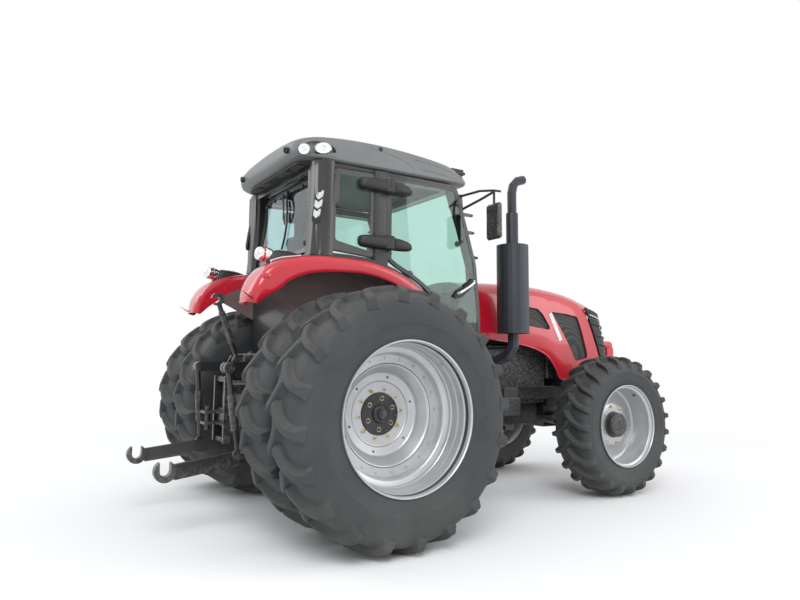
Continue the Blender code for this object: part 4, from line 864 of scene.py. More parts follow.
def make_front_rim(name, side):
    body = f"front_wheel_{name}"
    centre = (WHEELBASE, side * FRONT_Y, FRONT_R)
    away = Vector((0, side, 0))
    bm = bmesh.new()
    lathe(bm, FRONT_BARREL, centre, side, RIM_STEPS)
    lathe(bm, FRONT_DISC, centre, side, RIM_STEPS)
    rim = finished(bm, f"rolled_front_rim_{name}", "rim_silver", body, 40, [f"front_rim_{name}"])
    bm = bmesh.new()
    for place in ring_of(8, 0.1750, centre, side, 0.0180, 0.2):
        add_rod(bm, place, place + away * 0.003, 0.015, sides=16)
        add_rod(bm, place, place + away * 0.016, 0.0115, 0.011, 6, 0.002)
        add_rod(bm, place + away * 0.015, place + away * 0.026, 0.0075, 0.005, 10, 0.001)
    nuts = finished(bm, f"front_gold_nuts_{name}", "zinc_gold", body)
    bm = bmesh.new()
    lathe(bm, FRONT_CAP, centre, side, 64, closed=False)
    for place in ring_of(8, 0.1040, centre, side, 0.0880, 0.3):
        add_rod(bm, place - away * 0.004, place + away * 0.003, 0.0062, 0.0056, 6, 0.001)
    lathe(bm, [(0.060, 0.089), (0.060, 0.0925), (0.066, 0.0925), (0.066, 0.089)], centre, side, 48)
    for i in range(5):
        a = 0.35 + 2 * math.pi * i / 5
        start = Vector((WHEELBASE + 0.020 * math.cos(a), centre[1] + side * 0.0900, FRONT_R + 0.020 * math.sin(a)))
        end = Vector((WHEELBASE + 0.058 * math.cos(a), centre[1] + side * 0.0900, FRONT_R + 0.058 * math.sin(a)))
        add_tube(bm, [start, start.lerp(end, 0.5), end], 0.0042, 8, 2)
    valve_a = 0.95
    valve = Vector((WHEELBASE + 0.3475 * math.cos(valve_a), centre[1] + side * 0.105, FRONT_R + 0.3475 * math.sin(valve_a)))
    inward = Vector((-math.cos(valve_a), 0, -math.sin(valve_a)))
    add_rod(bm, valve, valve + inward * 0.010, 0.009, sides=12)
    add_rod(bm, valve + inward * 0.009, valve + inward * 0.012 + away * 0.030, 0.004, sides=8)
    cap = finished(bm, f"front_drive_cap_{name}", "cast_black", body)
    return rim, nuts, cap


for name, side in SIDES:
    print("front rim", name, "faces", count_of(*make_front_rim(name, side)))
# %% [markdown]
# The roof is one moulded cap. It is lofted from sections that stand across the machine:
# a flat underside, a rounded lower edge, a side face that leans in, a crease and a low
# dome. Pockets for the lamps and the mouths of the front air scoops are then carved out of
# the solid cap, and thin grooves part it into panels as on the moulded original.

# %% Roof cap
CAB_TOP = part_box("roof")[0][2]
ROOF_STATIONS = [  # x, half width, height of lower edge, of crease, of crown, lean of the side
    (-0.4380, 0.545, 2.885, 2.915, 2.945, 0.010),
    (-0.4250, 0.605, 2.856, 2.936, 2.985, 0.018),
    (-0.3700, 0.668, 2.828, 2.962, 3.028, 0.028),
    (-0.2500, 0.712, 2.810, 2.990, 3.072, 0.036),
    (0.0000, 0.732, 2.806, 3.012, 3.105, 0.040),
    (0.3000, 0.742, 2.806, 3.018, 3.122, 0.044),
    (0.6500, 0.740, 2.808, 3.006, 3.118, 0.046),
    (0.9500, 0.722, 2.812, 2.984, 3.090, 0.044),
    (1.1400, 0.690, 2.822, 2.955, 3.052, 0.038),
    (1.2400, 0.640, 2.836, 2.932, 3.012, 0.030),
    (1.2850, 0.560, 2.856, 2.912, 2.965, 0.020),
]


def roof_section(x, half, low, crease, crown, lean):
    """Half of a section, from the middle of the underside round to the crown."""
    side = [
        (half - 0.090, low + 0.0), (half - 0.030, low + 0.001), (half - 0.010, low + 0.006), (half + 0.002, low + 0.018),
        (half + 0.005, low + 0.036), (half - lean * 0.35, low + (crease - low) * 0.55), (half - lean, crease - 0.012),
        (half - lean - 0.006, crease), (half - lean - 0.022, crease + 0.012),
        (half - lean - 0.085, crease + (crown - crease) * 0.36), (half * 0.70, crease + (crown - crease) * 0.66),
        (half * 0.45, crease + (crown - crease) * 0.88), (half * 0.20, crown - 0.002),
    ]
    return [(x, 0.0, low)] + [(x, y, z) for y, z in side] + [(x, 0.0, crown)]


def smooth_rows(stations, row_of, per):
    """Rows made from smoothly blended stations of numbers."""
    wide = len(stations[0])
    lines = [smooth_line([(i, station[k], 0) for i, station in enumerate(stations)], per) for k in range(wide)]
    return [row_of(*(line[i].y for line in lines)) for i in range(len(lines[0]))]


def mirrored_ring(row):
    """A closed ring from half a section whose first and last points lie in the middle."""
    return row + [(x, -y, z) for x, y, z in row[-2:0:-1]]


bm = bmesh.new()
rows = [mirrored_ring(row) for row in smooth_rows(ROOF_STATIONS, roof_section, 5)]
loft(bm, rows, around=True, ends=True)
roof = object_of(bm, "roof_cap")


def skin_point(tree, x, y, z, direction):
    """The nearest point of a skin along a direction."""
    hit = tree.ray_cast(Vector((x, y, z)), Vector(direction))
    return hit[0], hit[1]


def skin_of(piece):
    bm = bmesh.new()
    bm.from_mesh(piece.data)
    tree = BVHTree.FromBMesh(bm)
    bm.free()
    return tree


roof_skin = skin_of(roof)


def groove(piece, points, radius=0.0035, sides=6):
    """Carves a thin channel along points that lie on the skin."""
    bm = bmesh.new()
    add_tube(bm, points, radius, sides, 1)
    return carve(piece, object_of(bm, "groove"))


def pocket_prism(outline, inward, outward):
    """A solid from a ring of points on the skin, pushed both ways along given vectors."""
    bm = bmesh.new()
    loft(bm, [[Vector(p) + Vector(inward) for p in outline], [Vector(p) + Vector(outward) for p in outline]], around=True, ends=True)
    return object_of(bm, "pocket")


# the lamp pocket of each rear corner, as (x, z) on the side face
POCKET = [(-0.425, 2.905), (-0.405, 2.838), (-0.235, 2.842), (-0.095, 2.878), (-0.150, 2.948), (-0.290, 2.958)]
SIDE_GROOVES = [
    [(-0.385, 2.870), (-0.330, 2.845), (-0.120, 2.838)],
    [(0.200, 2.985), (0.420, 2.950), (0.560, 2.905), (0.600, 2.850)],
    [(0.640, 2.960), (0.900, 2.945), (1.080, 2.915), (1.160, 2.870)],
    [(0.680, 2.875), (0.900, 2.870), (1.100, 2.862)],
]
for name, side in SIDES:
    for line in SIDE_GROOVES:
        places = []
        for p in smooth_line([(x, 0, z) for x, z in line], 8):
            hit, normal = skin_point(roof_skin, p.x, side * 1.5, p.z, (0, -side, 0))
            if hit:
                places.append(hit)
        groove(roof, places)
    ring = rounded([(x, z) for x, z in POCKET], 0.035, 3)
    outline = [(x, side * (0.668 - 0.30 * max(0.0, -x - 0.24)), z) for x, z in ring]
    carve(roof, pocket_prism(outline, (0, 0, 0), (-0.04, side * 0.20, 0.01)))
    # the mouth of the front scoop, open to the front and the side
    mouth = [(1.325, 2.925), (1.060, 2.968), (1.080, 2.995), (1.325, 3.020)]
    bm = bmesh.new()
    add_plate(bm, mouth, min(side * 0.46, side * 0.70), max(side * 0.46, side * 0.70))
    carve(roof, object_of(bm, "mouth"))
roof = hang(roof, "roof_plastic", "chassis", 28, ["roof"])
print("roof faces", count_of(roof))

# %% [markdown]
# Each rear pocket holds a round and an oval work lamp: a chrome bowl and bezel and a ribbed
# lens on a short black bracket. A small black camera-like lamp looks back from the
# corner, a black slatted liner lies in the mouth of each front scoop, and a dark liner with two
# vents closes the underside of the overhang.

# %% Roof lamps and trim
def facing(forward):
    """A matrix whose Z axis looks along a vector."""
    return Vector(forward).to_track_quat("Z", "Y").to_matrix().to_4x4()


def add_dial(bm, place, forward, profile, steps=36, squash=1.0, index=0):
    """A turned piece about any axis, from (radius, height) points; squash flattens it to an oval."""
    matrix = Matrix.Translation(place) @ facing(forward)
    rows = []
    for r, h in profile:
        ring = []
        for k in range(steps):
            a = 2 * math.pi * k / steps
            ring.append(matrix @ Vector((r * math.cos(a), r * squash * math.sin(a), h)))
        rows.append(ring)
    loft(bm, rows, around=True, ends=True, index=index)


def lamp_head(name, body, place, forward, radius, squash, glass="lens_clear", depth=0.05):
    """A chrome bezel and bowl, and a domed lens with rings."""
    r = radius
    bm = bmesh.new()
    bowl = [(r * 0.55, -depth), (r * 0.96, -depth * 0.45), (r * 1.06, -0.006), (r * 1.10, 0.002), (r * 1.06, 0.007), (r * 0.97, 0.005), (r * 0.95, -0.004)]
    add_dial(bm, place, forward, bowl, 36, squash)
    bezel = finished(bm, f"{name}_bezel", "chrome", body)
    bm = bmesh.new()
    lens = [(r * 0.96, -0.003)]
    rings = 5
    for i in range(rings, 0, -1):
        lens += [(r * 0.94 * i / rings, 0.002 + 0.007 * (1 - (i / rings) ** 2)), (r * 0.94 * (i - 0.35) / rings, 0.0045 + 0.007 * (1 - (i / rings) ** 2))]
    add_dial(bm, place, forward, lens, 36, squash)
    return bezel, finished(bm, f"{name}_lens", glass, body, 20)


lamps = []
for name, side in SIDES:
    outward = Vector((-0.55, side * 1.0, 0.10))
    for label, place, radius, squash in (
        ("round", (-0.368, side * 0.655, 2.882), 0.043, 1.0),
        ("oval", (-0.225, side * 0.698, 2.903), 0.062, 0.70),
    ):
        lamps += lamp_head(f"roof_{label}_lamp_{name}", "chassis", Vector(place), outward, radius, squash)
    bm = bmesh.new()
    for x, y in ((-0.360, 0.640), (-0.222, 0.684)):
        add_tube(bm, [(x, side * y, 2.842), (x - 0.004, side * (y + 0.010), 2.855), (x, side * (y + 0.006), 2.870)], 0.008, 10, 3)
        add_rod(bm, (x, side * (y - 0.02), 2.845), (x, side * (y + 0.020), 2.845), 0.012, sides=14, edge=0.003)
    camera_like = Vector((-0.432, side * 0.500, 2.900))
    look = Vector((-1.0, side * 0.15, -0.10)).normalized()
    add_dial(bm, camera_like, look, [(0.012, -0.02), (0.018, -0.02), (0.018, 0.004), (0.026, 0.006), (0.027, 0.030), (0.021, 0.034), (0.019, 0.026)], 24)
    # a small marker on the roof's side
    hit, normal = skin_point(roof_skin, 0.30, side * 1.5, 2.990, (0, -side, 0))
    add_dial(bm, hit, normal, [(0.020, -0.004), (0.020, 0.003), (0.014, 0.005), (0.012, 0.002)], 20)
    lamps.append(finished(bm, f"roof_lamp_brackets_{name}", "black_trim", "chassis"))
    bm = bmesh.new()
    add_block(bm, (1.075, 1.235), tuple(sorted((side * 0.475, side * 0.655))), (2.935, 2.960), 0.006)
    for i in range(5):
        y = side * (0.490 + 0.036 * i)
        add_block(bm, (1.085, 1.225), tuple(sorted((y, y + side * 0.006))), (2.955, 2.985), 0.002)
    lamps.append(finished(bm, f"scoop_liner_{name}", "black_trim", "chassis"))
bm = bmesh.new()
liner = [(-0.370, 0.520), (-0.300, 0.620), (1.100, 0.640), (1.200, 0.520)]
add_plate(bm, rounded(liner + [(x, -y) for x, y in liner[::-1]], 0.05), 2.800, 2.8085, "z")
lamps.append(finished(bm, "roof_liner", "black_trim", "chassis"))
bm = bmesh.new()
for _, side in SIDES:
    for x, y in ((-0.352, 0.20), (-0.345, 0.42)):
        for i in range(6):
            add_block(bm, (x + 0.009 * i - 0.004, x + 0.009 * i), tuple(sorted((side * (y - 0.085), side * (y + 0.085)))), (2.793, 2.812), 0.001, 1)
lamps.append(finished(bm, "roof_vent_slats", "grey_plastic", "chassis"))
print("roof lamps and trim", len(lamps), "pieces")
# %% [markdown]
# The hood is a pressed sheet over the engine. Its sides carry a soft shoulder line, two
# meshed vents with rounded corners and a flared front leg that sweeps down behind the
# front wheel. The skin is lofted from sections, the vents are cut through it, a shell
# modifier gives it thickness, and the meshes lie a little behind the openings.

# %% Hood skin
HOOD_STATIONS = [  # top x, bottom x, crown, shoulder height, shoulder y, side y, bottom height
    (1.420, 1.420, 2.026, 1.960, 0.332, 0.426, 1.492),
    (1.750, 1.750, 2.044, 1.978, 0.334, 0.428, 1.462),
    (2.080, 2.085, 2.053, 1.986, 0.334, 0.429, 1.426),
    (2.300, 2.330, 2.053, 1.985, 0.334, 0.429, 1.378),
    (2.430, 2.500, 2.051, 1.980, 0.333, 0.429, 1.300),
    (2.520, 2.610, 2.047, 1.974, 0.332, 0.429, 1.175),
    (2.600, 2.672, 2.041, 1.966, 0.330, 0.429, 1.082),
    (2.760, 2.850, 2.024, 1.948, 0.328, 0.427, 1.082),
    (2.900, 3.020, 2.002, 1.926, 0.326, 0.424, 1.082),
    (3.020, 3.210, 1.978, 1.900, 0.322, 0.413, 1.082),
    (3.110, 3.368, 1.955, 1.870, 0.318, 0.400, 1.082),
]
NOSE_STATIONS = [  # the top alone goes on over the grille: x, crown, shoulder height, shoulder y
    (3.110, 1.955, 1.870, 0.318),
    (3.200, 1.934, 1.846, 0.310),
    (3.300, 1.906, 1.816, 0.292),
    (3.400, 1.874, 1.786, 0.262),
    (3.480, 1.846, 1.766, 0.222),
    (3.520, 1.822, 1.756, 0.180),
]


def hood_top(x, crown, shoulder, wide):
    """From the crown to just under the shoulder."""
    rise = crown - shoulder
    return [
        (x, 0.0, crown), (x, wide * 0.25, crown - rise * 0.03), (x, wide * 0.50, crown - rise * 0.14), (x, wide * 0.68, crown - rise * 0.27),
        (x, wide * 0.80, crown - rise * 0.42), (x, wide * 0.90, crown - rise * 0.64), (x + 0.001, wide, shoulder),
        (x + 0.003, wide + 0.026, shoulder - 0.030),
    ]


def hood_row(top_x, low_x, crown, shoulder, wide, side_y, low):
    row = hood_top(top_x, crown, shoulder, wide)
    start_z = shoulder - 0.065
    row.append((top_x + 0.005, wide + 0.046, start_z))
    for i in range(1, 13):
        share = i / 12
        z = start_z + (low - start_z) * share
        y = wide + 0.046 + (side_y - wide - 0.046) * min(1.0, 1 - (1 - share) ** 3)
        x = top_x + 0.005 + (low_x - top_x - 0.005) * share
        if share > 0.82:
            y -= 0.010 * (share - 0.82) / 0.18
        row.append((x, y, z))
    return row


def both_sides(rows):
    return [[(x, -y, z) for x, y, z in row[:0:-1]] + row for row in rows]


bm = bmesh.new()
loft(bm, both_sides(smooth_rows(HOOD_STATIONS, hood_row, 6)))
loft(bm, both_sides(smooth_rows(NOSE_STATIONS, hood_top, 4)))
bmesh.ops.remove_doubles(bm, verts=bm.verts, dist=0.0006)
hood = object_of(bm, "hood_skin")
hood_skin = skin_of(hood)
facing_sum = sum((polygon.normal * polygon.area for polygon in hood.data.polygons), Vector())
hood = shell(hood, 0.016, -1.0 if facing_sum.z > 0 else 1.0)

REAR_VENT = [(1.960, 1.815), (2.235, 1.806), (2.376, 1.792), (2.436, 1.742), (2.530, 1.612), (2.515, 1.582), (2.231, 1.612), (1.980, 1.640)]
FRONT_VENT = [(2.574, 1.772), (2.790, 1.760), (2.966, 1.738), (3.004, 1.640), (3.086, 1.335), (3.072, 1.300), (2.890, 1.268), (2.800, 1.430)]
VENT_BACK = 0.020


def side_patch(outline, side, inset):
    """A grid-free patch that follows the hood's side, a little behind it."""
    return [(x, side * (abs(skin_point(hood_skin, x, side * 1.0, z, (0, -side, 0))[0].y) - inset), z) for x, z in outline]


vents = []
for name, side in SIDES:
    for label, outline in (("rear", REAR_VENT), ("front", FRONT_VENT)):
        ring = rounded(outline, 0.022, 4)
        bm = bmesh.new()
        add_plate(bm, ring, min(side * 0.36, side * 0.50), max(side * 0.36, side * 0.50))
        carve(hood, object_of(bm, "opening"))
        middle_x = sum(x for x, _ in ring) / len(ring)
        middle_z = sum(z for _, z in ring) / len(ring)
        rings = []
        for share in (1.03, 0.75, 0.45, 0.15):
            rings.append(side_patch([(middle_x + (x - middle_x) * share, middle_z + (z - middle_z) * share) for x, z in ring], side, VENT_BACK - 0.004 * (1.03 - share)))
        bm = bmesh.new()
        loft(bm, rings, around=True)
        bm.faces.new([vert for vert in bm.verts][-len(ring):])
        mesh = object_of(bm, f"hood_vent_{label}_{name}")
        vents.append(hang(shell(mesh, 0.004, 0.0), "vent_mesh", "hood", 35))
        bm = bmesh.new()
        edge = side_patch(ring, side, 0.012)
        add_tube(bm, edge + edge[:2], 0.0045, 8, 1)
        vents.append(finished(bm, f"hood_vent_seal_{label}_{name}", "black_trim", "hood"))
    for line in ([(2.298, 1.966), (2.500, 1.952), (2.721, 1.934), (2.900, 1.898), (3.041, 1.857)], ):
        places = [skin_point(hood_skin, p.x, side * 1.0, p.z, (0, -side, 0))[0] for p in smooth_line([(x, 0, z) for x, z in line], 8)]
        groove(hood, [p for p in places if p], 0.0045)
hood = hang(hood, "red_paint", "hood", 32, ["hood"])
print("hood faces", count_of(hood), "and", len(vents), "vent pieces")

# %% [markdown]
# Between the vents a pale strip is screwed to the side. Along the lower edge runs a raised
# flange, which on the real sheet is the turned hem that stiffens the wheel cut-out.

# %% Hood strip and hem
trim = []
for name, side in SIDES:
    start, end, wide = Vector((2.548, 1.752)), Vector((2.676, 1.478)), 0.026
    along = (end - start).normalized()
    across = Vector((along.y, -along.x)) * wide
    corners = [start + across, start - across, end - across, end + across]
    rows = []
    for inset in (-0.0055, 0.001):
        rows.append(side_patch(rounded([tuple(c) for c in corners], 0.004, 2), side, inset))
    bm = bmesh.new()
    loft(bm, rows, around=True, ends=True)
    trim.append(finished(bm, f"hood_strip_{name}", "white_strip", "hood"))
    bm = bmesh.new()
    for share in (0.10, 0.40, 0.64, 0.90):
        place = side_patch([tuple(start.lerp(end, share))], side, -0.0055)[0]
        add_dial(bm, Vector(place), (0, side, 0), [(0.0055, -0.002), (0.0055, 0.001), (0.0035, 0.0022), (0.001, 0.0022)], 12)
    trim.append(finished(bm, f"hood_strip_screws_{name}", "zinc_gold", "hood"))
    hem = []
    for _, low_x, _, _, _, side_y, low in HOOD_STATIONS[:8]:
        hem.append((low_x, side * (side_y - 0.010), low + 0.004))
    bm = bmesh.new()
    add_tube(bm, hem, 0.0075, 10, 6)
    trim.append(finished(bm, f"hood_hem_{name}", "red_paint", "hood"))
    # the round catch high on the side, behind the exhaust
    place, normal = skin_point(hood_skin, 2.115, side * 1.0, 1.895, (0, -side, 0))
    bm = bmesh.new()
    add_dial(bm, place, normal, [(0.016, -0.003), (0.016, 0.003), (0.012, 0.005), (0.010, 0.003), (0.004, 0.003)], 24)
    trim.append(finished(bm, f"hood_catch_{name}", "chrome", "hood"))
print("hood trim", len(trim), "pieces")

# %% [markdown]
# The nose is a dark grille that wraps round from side to side under a thin light strip.
# It is built as a stack of shallow waves: each slat is a full bent strip, so the lines
# run unbroken round the corner as they do on the real moulding.

# %% Grille
NOSE_COLUMNS = [  # top x, y, z and bottom x, y
    (3.120, 0.372, 1.845, 3.375, 0.396), (3.225, 0.366, 1.822, 3.455, 0.378), (3.330, 0.338, 1.800, 3.528, 0.338),
    (3.420, 0.288, 1.780, 3.580, 0.272), (3.490, 0.206, 1.765, 3.612, 0.180), (3.530, 0.100, 1.757, 3.628, 0.085),
    (3.540, 0.0, 1.754, 3.632, 0.0),
]
NOSE_LOW = 1.090
GRILLE_SLATS = 7


def nose_point(column, share):
    top_x, y, z, low_x, low_y = column
    belly = 0.018 * math.sin(math.pi * share)
    return Vector((top_x + (low_x - top_x) * share + belly, y + (low_y - y) * share + belly * 0.4, z + (NOSE_LOW - z) * share))


def full_width(columns):
    return [(tx, -ty, tz, bx, -by) for tx, ty, tz, bx, by in columns] + columns[-2::-1]


nose = []
columns = full_width(NOSE_COLUMNS)
curved = [smooth_line([nose_point(c, share) if c[1] >= 0 else nose_point((c[0], -c[1], c[2], c[3], -c[4]), share) * Vector((1, -1, 1)) for c in columns], 3) for share in [i / 24 for i in range(25)]]
bm = bmesh.new()
rows = []
for i, row in enumerate(curved):
    share = i / 24
    slat = (share * GRILLE_SLATS) % 1.0
    depth = 0.020 * math.sin(math.pi * slat) ** 2 if 0.06 < share < 0.80 else 0.0
    centre = Vector((2.9, 0, 0))
    rows.append([p - ((p - Vector((centre.x, 0, p.z))).normalized() * depth) for p in row])
loft(bm, rows)
grille = object_of(bm, "grille_shell")
facing_sum = sum((polygon.normal * polygon.area for polygon in grille.data.polygons), Vector())
grille = shell(grille, 0.010, -1.0 if facing_sum.x > 0 else 1.0)
nose.append(hang(grille, "vent_mesh", "hood", 40, ["hood_grille"]))
bm = bmesh.new()
for share in (0.20, 0.36, 0.52, 0.68):
    row = curved[round(share * 24)]
    add_tube(bm, [p + Vector((0.002, 0, 0)) for p in row[1:-1]], 0.0085, 8, 1, flat=1.0)
nose.append(finished(bm, "grille_bars", "grey_plastic", "hood"))
bm = bmesh.new()
row = [p + Vector((0.004, 0, -0.006)) for p in curved[2]]
add_tube(bm, row[1:-1], 0.0080, 8, 1)
nose.append(finished(bm, "grille_light_strip", "lens_clear", "hood"))
bm = bmesh.new()
for side in (-1, 1):
    edge = [nose_point(NOSE_COLUMNS[0], share) * Vector((1, side, 1)) for share in [i / 8 for i in range(9)]]
    add_tube(bm, edge, 0.012, 8, 3)
nose.append(finished(bm, "grille_side_frame", "black_trim", "hood"))
print("nose", len(nose), "pieces")
# %% [markdown]
# A fender arches over the inner rear wheel and runs out behind in a rounded tail. The skin
# is lofted along the arch: its section goes up the inner wall, over a crowned top and down
# a rounded outer lip, and a shell modifier gives it thickness. Dark liner plates close the
# arch inside.

# %% Fenders
FENDER_IN, FENDER_OUT = 0.556, 0.849
FENDER_TOP_R = 1.156
FENDER_FRONT = math.radians(27)
FENDER_TAIL = [(-0.300, 2.036), (-0.520, 2.003), (-0.700, 1.925), (-0.795, 1.800), (-0.832, 1.660)]
LIP_DROP = [0.116, 0.118, 0.135, 0.160, 0.185, 0.150, 0.060]


def fender_line():
    """(x, z, direction out of the skin, depth of the lip) along the arch to the tail."""
    arch = []
    steps = 22
    for i in range(steps + 1):
        a = FENDER_FRONT + (math.pi / 2 - FENDER_FRONT) * i / steps
        arch.append((FENDER_TOP_R * math.cos(a), REAR_R + FENDER_TOP_R * math.sin(a)))
    tail = smooth_line([(arch[-1][0], arch[-1][1], 0)] + [(x, z, 0) for x, z in FENDER_TAIL], 7)[1:]
    drops = smooth_line([(i, d, 0) for i, d in enumerate(LIP_DROP)], 7)
    line = [(x, z, LIP_DROP[0]) for x, z in arch]
    line += [(p.x, p.y, drops[min(7 + i, len(drops) - 1)].y) for i, p in enumerate(tail)]
    found = []
    for i, (x, z, drop) in enumerate(line):
        before, after = line[max(i - 1, 0)], line[min(i + 1, len(line) - 1)]
        along = Vector((after[0] - before[0], after[1] - before[1])).normalized()
        found.append((x, z, Vector((along.y, -along.x)), drop))
    return found


def fender_rows(side):
    rows = []
    line = fender_line()
    for i, (x, z, out, drop) in enumerate(line):
        ending = max(0.0, (i - (len(line) - 8)) / 7)
        narrow = 0.050 * ending**2
        inner, outer = FENDER_IN + 0.02 * ending, FENDER_OUT - narrow
        row = []
        for y, depth in (
            (inner, drop * 0.9), (inner, 0.060), (inner, 0.022), (inner + 0.006, 0.008), (inner + 0.020, 0.001),
            ((inner + outer) / 2 - 0.06, -0.0005), ((inner + outer) / 2 + 0.06, 0.0), (outer - 0.058, 0.0025), (outer - 0.040, 0.006),
            (outer - 0.022, 0.014), (outer - 0.009, 0.027), (outer - 0.002, 0.044), (outer, 0.064), (outer - 0.001, drop * 0.8),
            (outer - 0.004, drop - 0.010), (outer - 0.010, drop),
        ):
            row.append((x - out.x * depth, side * y, z - out.y * depth))
        rows.append(row)
    return rows


fenders = []
for name, side in SIDES:
    bm = bmesh.new()
    loft(bm, fender_rows(side))
    skin = object_of(bm, f"fender_skin_{name}")
    up = sum((polygon.normal * polygon.area for polygon in skin.data.polygons), Vector()).z
    skin = shell(skin, 0.007, -1.0 if up > 0 else 1.0)
    fenders.append(hang(skin, "red_paint", "chassis", 40, [f"fender_{name}"]))
    # the liner inside the arch: a curved sheet under the skin and a wall towards the cab
    bm = bmesh.new()
    rows = []
    for x, z, out, drop in fender_line()[2:-6]:
        rows.append([(x - out.x * d, side * y, z - out.y * d) for y, d in ((0.570, 0.075), (0.585, 0.040), (0.700, 0.026), (0.815, 0.030), (0.835, 0.050))])
    loft(bm, rows)
    liner = object_of(bm, f"arch_liner_{name}")
    fenders.append(hang(shell(liner, 0.003, 0.0), "arch_liner", "chassis", 40))
    bm = bmesh.new()
    wall = [(x - out.x * 0.05, z - out.y * 0.05) for x, z, out, _ in fender_line()[4:-10]]
    wall += [(-0.300, 1.620), (-0.180, 1.560), (0.200, 1.500), (0.700, 1.430)]
    add_plate(bm, wall, min(side * 0.557, side * 0.564), max(side * 0.557, side * 0.564))
    fenders.append(finished(bm, f"arch_wall_{name}", "arch_liner", "chassis"))
    # dark marker near the tail, on the outer lip
    bm = bmesh.new()
    add_block(bm, (-0.752, -0.692), tuple(sorted((side * 0.842, side * 0.853))), (1.825, 1.862), 0.005, 2)
    fenders.append(finished(bm, f"tail_marker_{name}", "lens_red", "chassis"))
print("fenders", count_of(*fenders), "faces")

# %% [markdown]
# On top of each fender stands a lamp pod: a black wedge, a chrome ball with a red ring
# round it that looks back, and a bright strip along its foot.

# %% Fender lamps
pods = []
for name, side in SIDES:
    foot = [(-0.640, 0.600), (-0.560, 0.588), (-0.420, 0.610), (-0.330, 0.650), (-0.420, 0.700), (-0.560, 0.716), (-0.650, 0.700)]
    heights = [(0.0, 0.0, 1.0), (0.030, 0.01, 0.97), (0.062, 0.04, 0.80), (0.080, 0.06, 0.52), (0.086, 0.07, 0.20)]
    skin = fender_line()

    def top_of(x):
        near = min(skin, key=lambda p: abs(p[0] - x))
        return near[1] - 0.002

    rows = []
    for rise, back, share in heights:
        centre = Vector((-0.560, 0.652))
        ring = []
        for x, y in rounded(foot, 0.04, 3):
            px, py = centre.x + (x - centre.x) * share - back * 0.3, centre.y + (y - centre.y) * (0.35 + 0.65 * share)
            slope = max(0.0, (px + 0.62) / 0.30)
            ring.append((px, side * py, top_of(px) + rise * (1.0 - 0.75 * min(1.0, slope))))
        rows.append(ring)
    bm = bmesh.new()
    loft(bm, rows, around=True, ends=True)
    pods.append(finished(bm, f"lamp_pod_{name}", "black_trim", "chassis", 50, [f"fender_lamp_{name}"]))
    bm = bmesh.new()
    look = Vector((-1.0, -side * 0.12, 0.10)).normalized()
    ball = Vector((-0.640, side * 0.640, top_of(-0.60) + 0.052))
    add_dial(bm, ball, look, [(0.020, -0.045), (0.046, -0.035), (0.054, -0.010), (0.056, 0.012), (0.053, 0.022)], 32)
    add_dial(bm, ball + look * 0.034, look, [(0.054, 0.0), (0.056, 0.010), (0.053, 0.030), (0.044, 0.046), (0.028, 0.056), (0.010, 0.060)], 32)
    strip = [(x, side * (0.712 - 0.10 * max(0.0, (x + 0.42) / 0.12) * 0.5), top_of(x) + 0.010) for x in (-0.640, -0.56, -0.48, -0.40, -0.345)]
    add_tube(bm, strip, [0.010, 0.010, 0.009, 0.007, 0.004], 8, 4)
    pods.append(finished(bm, f"lamp_chrome_{name}", "chrome", "chassis"))
    bm = bmesh.new()
    add_dial(bm, ball + look * 0.020, look, [(0.050, 0.0), (0.0565, 0.001), (0.0575, 0.008), (0.0565, 0.015), (0.050, 0.016)], 32)
    pods.append(finished(bm, f"lamp_red_ring_{name}", "lens_red", "chassis"))
print("lamp pods", len(pods), "pieces")
# %% [markdown]
# The cab's panes are bonded glass: the black paint round the edge of each pane, called a
# frit, hides the glue. Each pane is a thin slab with rounded corners, and its frit is a
# ring lying on it. The door is one tall pane in a slim black frame, so the CAD door is
# replaced by a lighter one of the same outline.

# %% Panes of glass
def plate_ring(bm, outline, hole, low, high, axis="y"):
    """A flat ring between an outline and a hole with as many points."""
    def place(a, b, out):
        return {"x": (out, a, b), "y": (a, out, b)}[axis]
    loops = [[place(a, b, out) for a, b in ring] for out, ring in ((low, outline), (high, outline), (high, hole), (low, hole))]
    verts = [[bm.verts.new(p) for p in loop] for loop in loops]
    count = len(outline)
    for first, second in zip(verts, verts[1:] + verts[:1]):
        for i in range(count):
            j = (i + 1) % count
            bm.faces.new((first[i], first[j], second[j], second[i]))


def shrunk(outline, by):
    """The outline moved inwards by a distance, point for point."""
    points = [Vector(p) for p in outline]
    area = sum(a.x * b.y - b.x * a.y for a, b in zip(points, points[1:] + points[:1]))
    turn = 1 if area > 0 else -1
    found = []
    for i, p in enumerate(points):
        before = (p - points[i - 1]).normalized()
        after = (points[(i + 1) % len(points)] - p).normalized()
        inward = (Vector((-before.y, before.x)) + Vector((-after.y, after.x))) * turn
        found.append(tuple(p + inward.normalized() * by))
    return found


